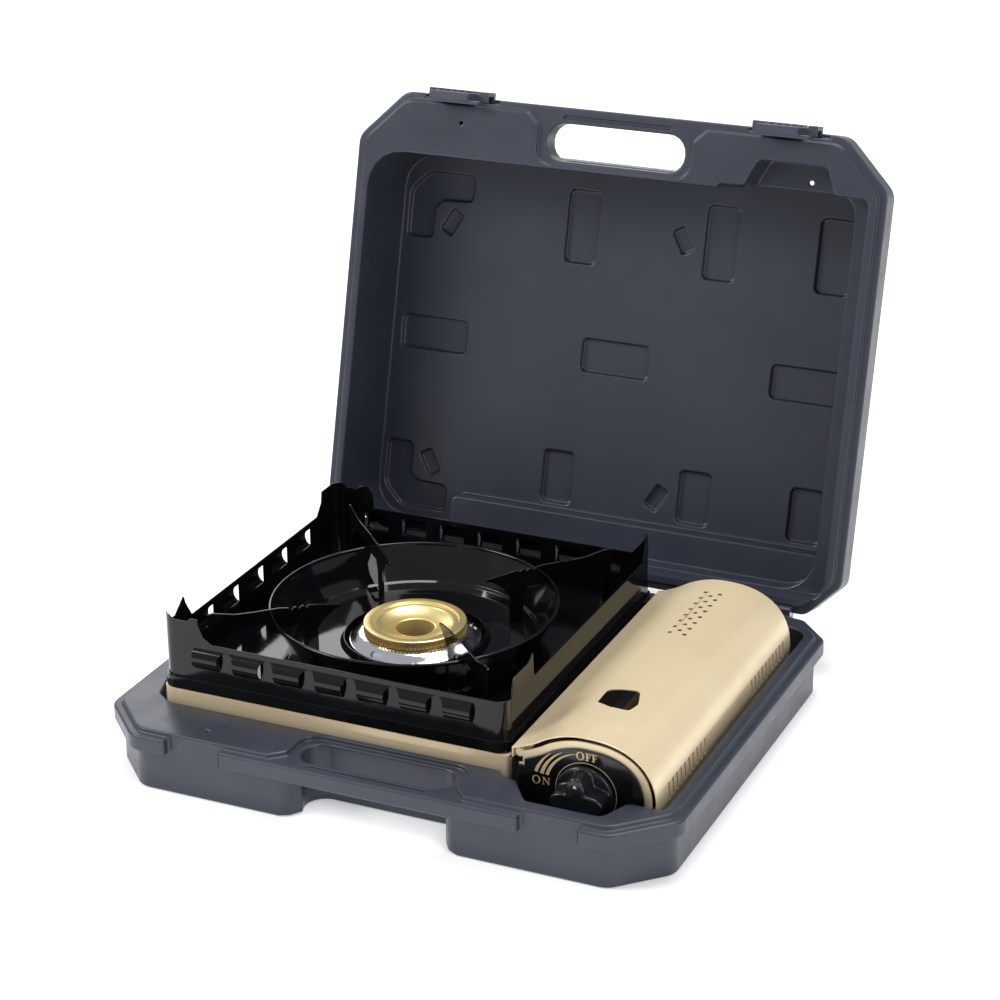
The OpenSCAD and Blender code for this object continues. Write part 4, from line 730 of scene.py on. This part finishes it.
printShape = {
    "thick": 0.06,
    "letterF": ((0, 0), (2.2, 0), (2.2, 0.35), (1.7, 0.35), (1.7, 2.3), (2.5, 2.3), (2.5, 1.7), (2.85, 1.7),
                (2.85, 3.2), (2.5, 3.2), (2.5, 2.65), (1.7, 2.65), (1.7, 4.65), (3.05, 4.65), (3.05, 3.8),
                (3.4, 3.8), (3.4, 5), (0, 5), (0, 4.65), (0.6, 4.65), (0.6, 0.35), (0, 0.35)),
    "letterN": ((0, 0), (1.5, 0), (1.5, 0.35), (1, 0.35), (1, 3.9), (4.1, 0), (4.6, 0), (4.6, 4.65),
                (5.1, 4.65), (5.1, 5), (3.6, 5), (3.6, 4.65), (4.15, 4.65), (4.15, 1.5), (1.4, 5), (0, 5),
                (0, 4.65), (0.6, 4.65), (0.6, 0.35), (0, 0.35)),
    "letters": ((130.1, 62.0, "letterF"), (134.1, 62.0, "letterF"), (102.1, 40.3, "letterN")),
    "rounds": ((126.7, 64.5, 2.6, 2.75), (98.2, 42.8, 2.7, 2.8)),       # middle and half sizes of each O
    "stroke": (1.05, 0.42),                                             # thick sides and thin top of the O
    # inner and outer radius at the ON end, the angle there, radius and angle at the OFF end
    "arcs": ((31.0, 33.2, 166.5, 30.4, 134), (27.1, 29.6, 166, 27.5, 121), (23.8, 25.9, 164.5, 24.9, 101)),
    "arcMiddle": (129.2, 40.6), "ringRadius": 19.4, "ringWidth": 0.42,
    "pointer": ((-1.3, 11.0), (1.3, 11.0), (0, 13.4)),                  # small index on the upper lobe
}


def onFascia(x, z, lift=0.0):
    return (x * mm, fasciaY - lift * mm, z * mm)


def printRing(mesh, inner, outer):
    # a thin raised band between two closed rows of points
    lift = printShape["thick"]
    rows = [[mesh.verts.new(onFascia(x, z, up)) for x, z in row]
            for row, up in ((outer, 0), (outer, lift), (inner, lift), (inner, 0))]
    joinRows(mesh, rows, rows[1:] + rows[:1])


def printPatch(mesh, outline, low=0.0, high=printShape["thick"]):
    # a flat plate between two heights over the fascia
    back = [mesh.verts.new(onFascia(x, z, low)) for x, z in outline]
    front = [mesh.verts.new(onFascia(x, z, high)) for x, z in outline]
    mesh.faces.new(back)
    mesh.faces.new(front[::-1])
    for i in range(len(outline)):
        j = (i + 1) % len(outline)
        mesh.faces.new((back[j], back[i], front[i], front[j]))


def fasciaPrint(shape):
    mesh = bmesh.new()
    turns = [2 * pi * i / 48 for i in range(48)]
    thick, thin = shape["stroke"]
    for x, z, wide, tall in shape["rounds"]:
        printRing(mesh, [(x + (wide - thick) * cos(t), z + (tall - thin) * sin(t)) for t in turns],
                  [(x + wide * cos(t), z + tall * sin(t)) for t in turns])
    for x, z, letter in shape["letters"]:
        printPatch(mesh, [(x + u, z + v) for u, v in shape[letter]])
    middleX, middleZ = shape["arcMiddle"]
    for inner, outer, start, tip, end in shape["arcs"]:
        shares = [i / 20 for i in range(21)]
        rows = []
        for radius in (inner, outer):
            rows.append([(radius + (tip + (radius - inner) * 0.08 - radius) * s ** 1.25,
                          radians(start + (end - start) * s)) for s in shares])
        path = rows[0] + rows[1][::-1]
        printPatch(mesh, [(middleX + r * cos(a), middleZ + r * sin(a)) for r, a in path])
    turns = [2 * pi * i / 160 for i in range(160)]
    x, z, inner = knobX / mm, knobZ / mm, shape["ringRadius"]
    outer = inner + shape["ringWidth"]
    printRing(mesh, [(x + inner * cos(t), z + inner * sin(t)) for t in turns],
              [(x + outer * cos(t), z + outer * sin(t)) for t in turns])
    bmesh.ops.recalc_face_normals(mesh, faces=mesh.faces)
    return mesh


finishPiece(fasciaPrint(printShape), "fascia_print", "stove", "gold_paint", material="gold_print")


def knobMark(shape):
    # the index plate is let into the face of the upper lobe
    mesh = bmesh.new()
    angle = radians(knobShape["lobeAngle"] - 90)
    lift = knobShape["height"] + knobGap
    turned = [(knobX / mm + x * cos(angle) - z * sin(angle), knobZ / mm + x * sin(angle) + z * cos(angle))
              for x, z in shape["pointer"]]
    printPatch(mesh, turned, lift - 0.5, lift + 0.04)
    bmesh.ops.recalc_face_normals(mesh, faces=mesh.faces)
    return mesh


finishPiece(knobMark(printShape), "knob_mark", "knob", "gold_paint", material="gold_print")
print("lid corner, knob, screws, burner cap and print made")

# ---- floor and light ----
room = {"floorSize": 30, "floorColor": (0.92, 0.92, 0.93, 1), "sky": 0.5, "glow": 0.28}
mesh = bmesh.new()
bmesh.ops.create_grid(mesh, x_segments=2, y_segments=2, size=room["floorSize"] / 2,
                      matrix=Matrix.Translation((0, 0, -0.2 * mm)))
floor = meshObject(mesh, "floor")
floorPaper = bpy.data.materials.new("floorPaper")
floorPaper.use_nodes = True
paper = floorPaper.node_tree.nodes["Principled BSDF"].inputs
for socket, value in (("Base Color", room["floorColor"]), ("Roughness", 0.9),
                      ("Emission Color", (1, 1, 1, 1)), ("Emission Strength", room["glow"])):
    paper[socket].default_value = value
floor.data.materials.append(floorPaper)

world = bpy.data.worlds.new("studio")
bpy.context.scene.world = world
world.use_nodes = True
sky = world.node_tree.nodes["Background"].inputs
sky["Color"].default_value = (0.95, 0.97, 1, 1)
sky["Strength"].default_value = room["sky"]

lamps = {
    # name: (place, aimed at, width, height, power)
    "softboxLeft": ((-1.6, -0.9, 1.5), (0, 0, 0.1), 0.9, 0.8, 30),
    "softboxTop": ((0.2, 0.5, 2.2), (0, 0.05, 0.1), 1.3, 0.9, 34),
    "softboxRight": ((1.8, -0.8, 1.1), (0, 0, 0.1), 0.7, 1.1, 12),
    "softboxBack": ((-1.0, 2.2, 1.25), (0, 0, 0.1), 2.4, 0.9, 20),
}


def addLamp(name, place, target, width, height, power):
    light = bpy.data.lights.new(name, "AREA")
    light.shape = "RECTANGLE"
    light.size, light.size_y, light.energy = width, height, power
    lamp = addObject(name, light)
    lamp.location = place
    lamp.rotation_euler = (Vector(target) - Vector(place)).to_track_quat("-Z", "Y").to_euler()


for name, (place, target, width, height, power) in lamps.items():
    addLamp(name, place, target, width, height, power)
bpy.context.scene.view_settings.view_transform = "Standard"
print("floor and lights set")
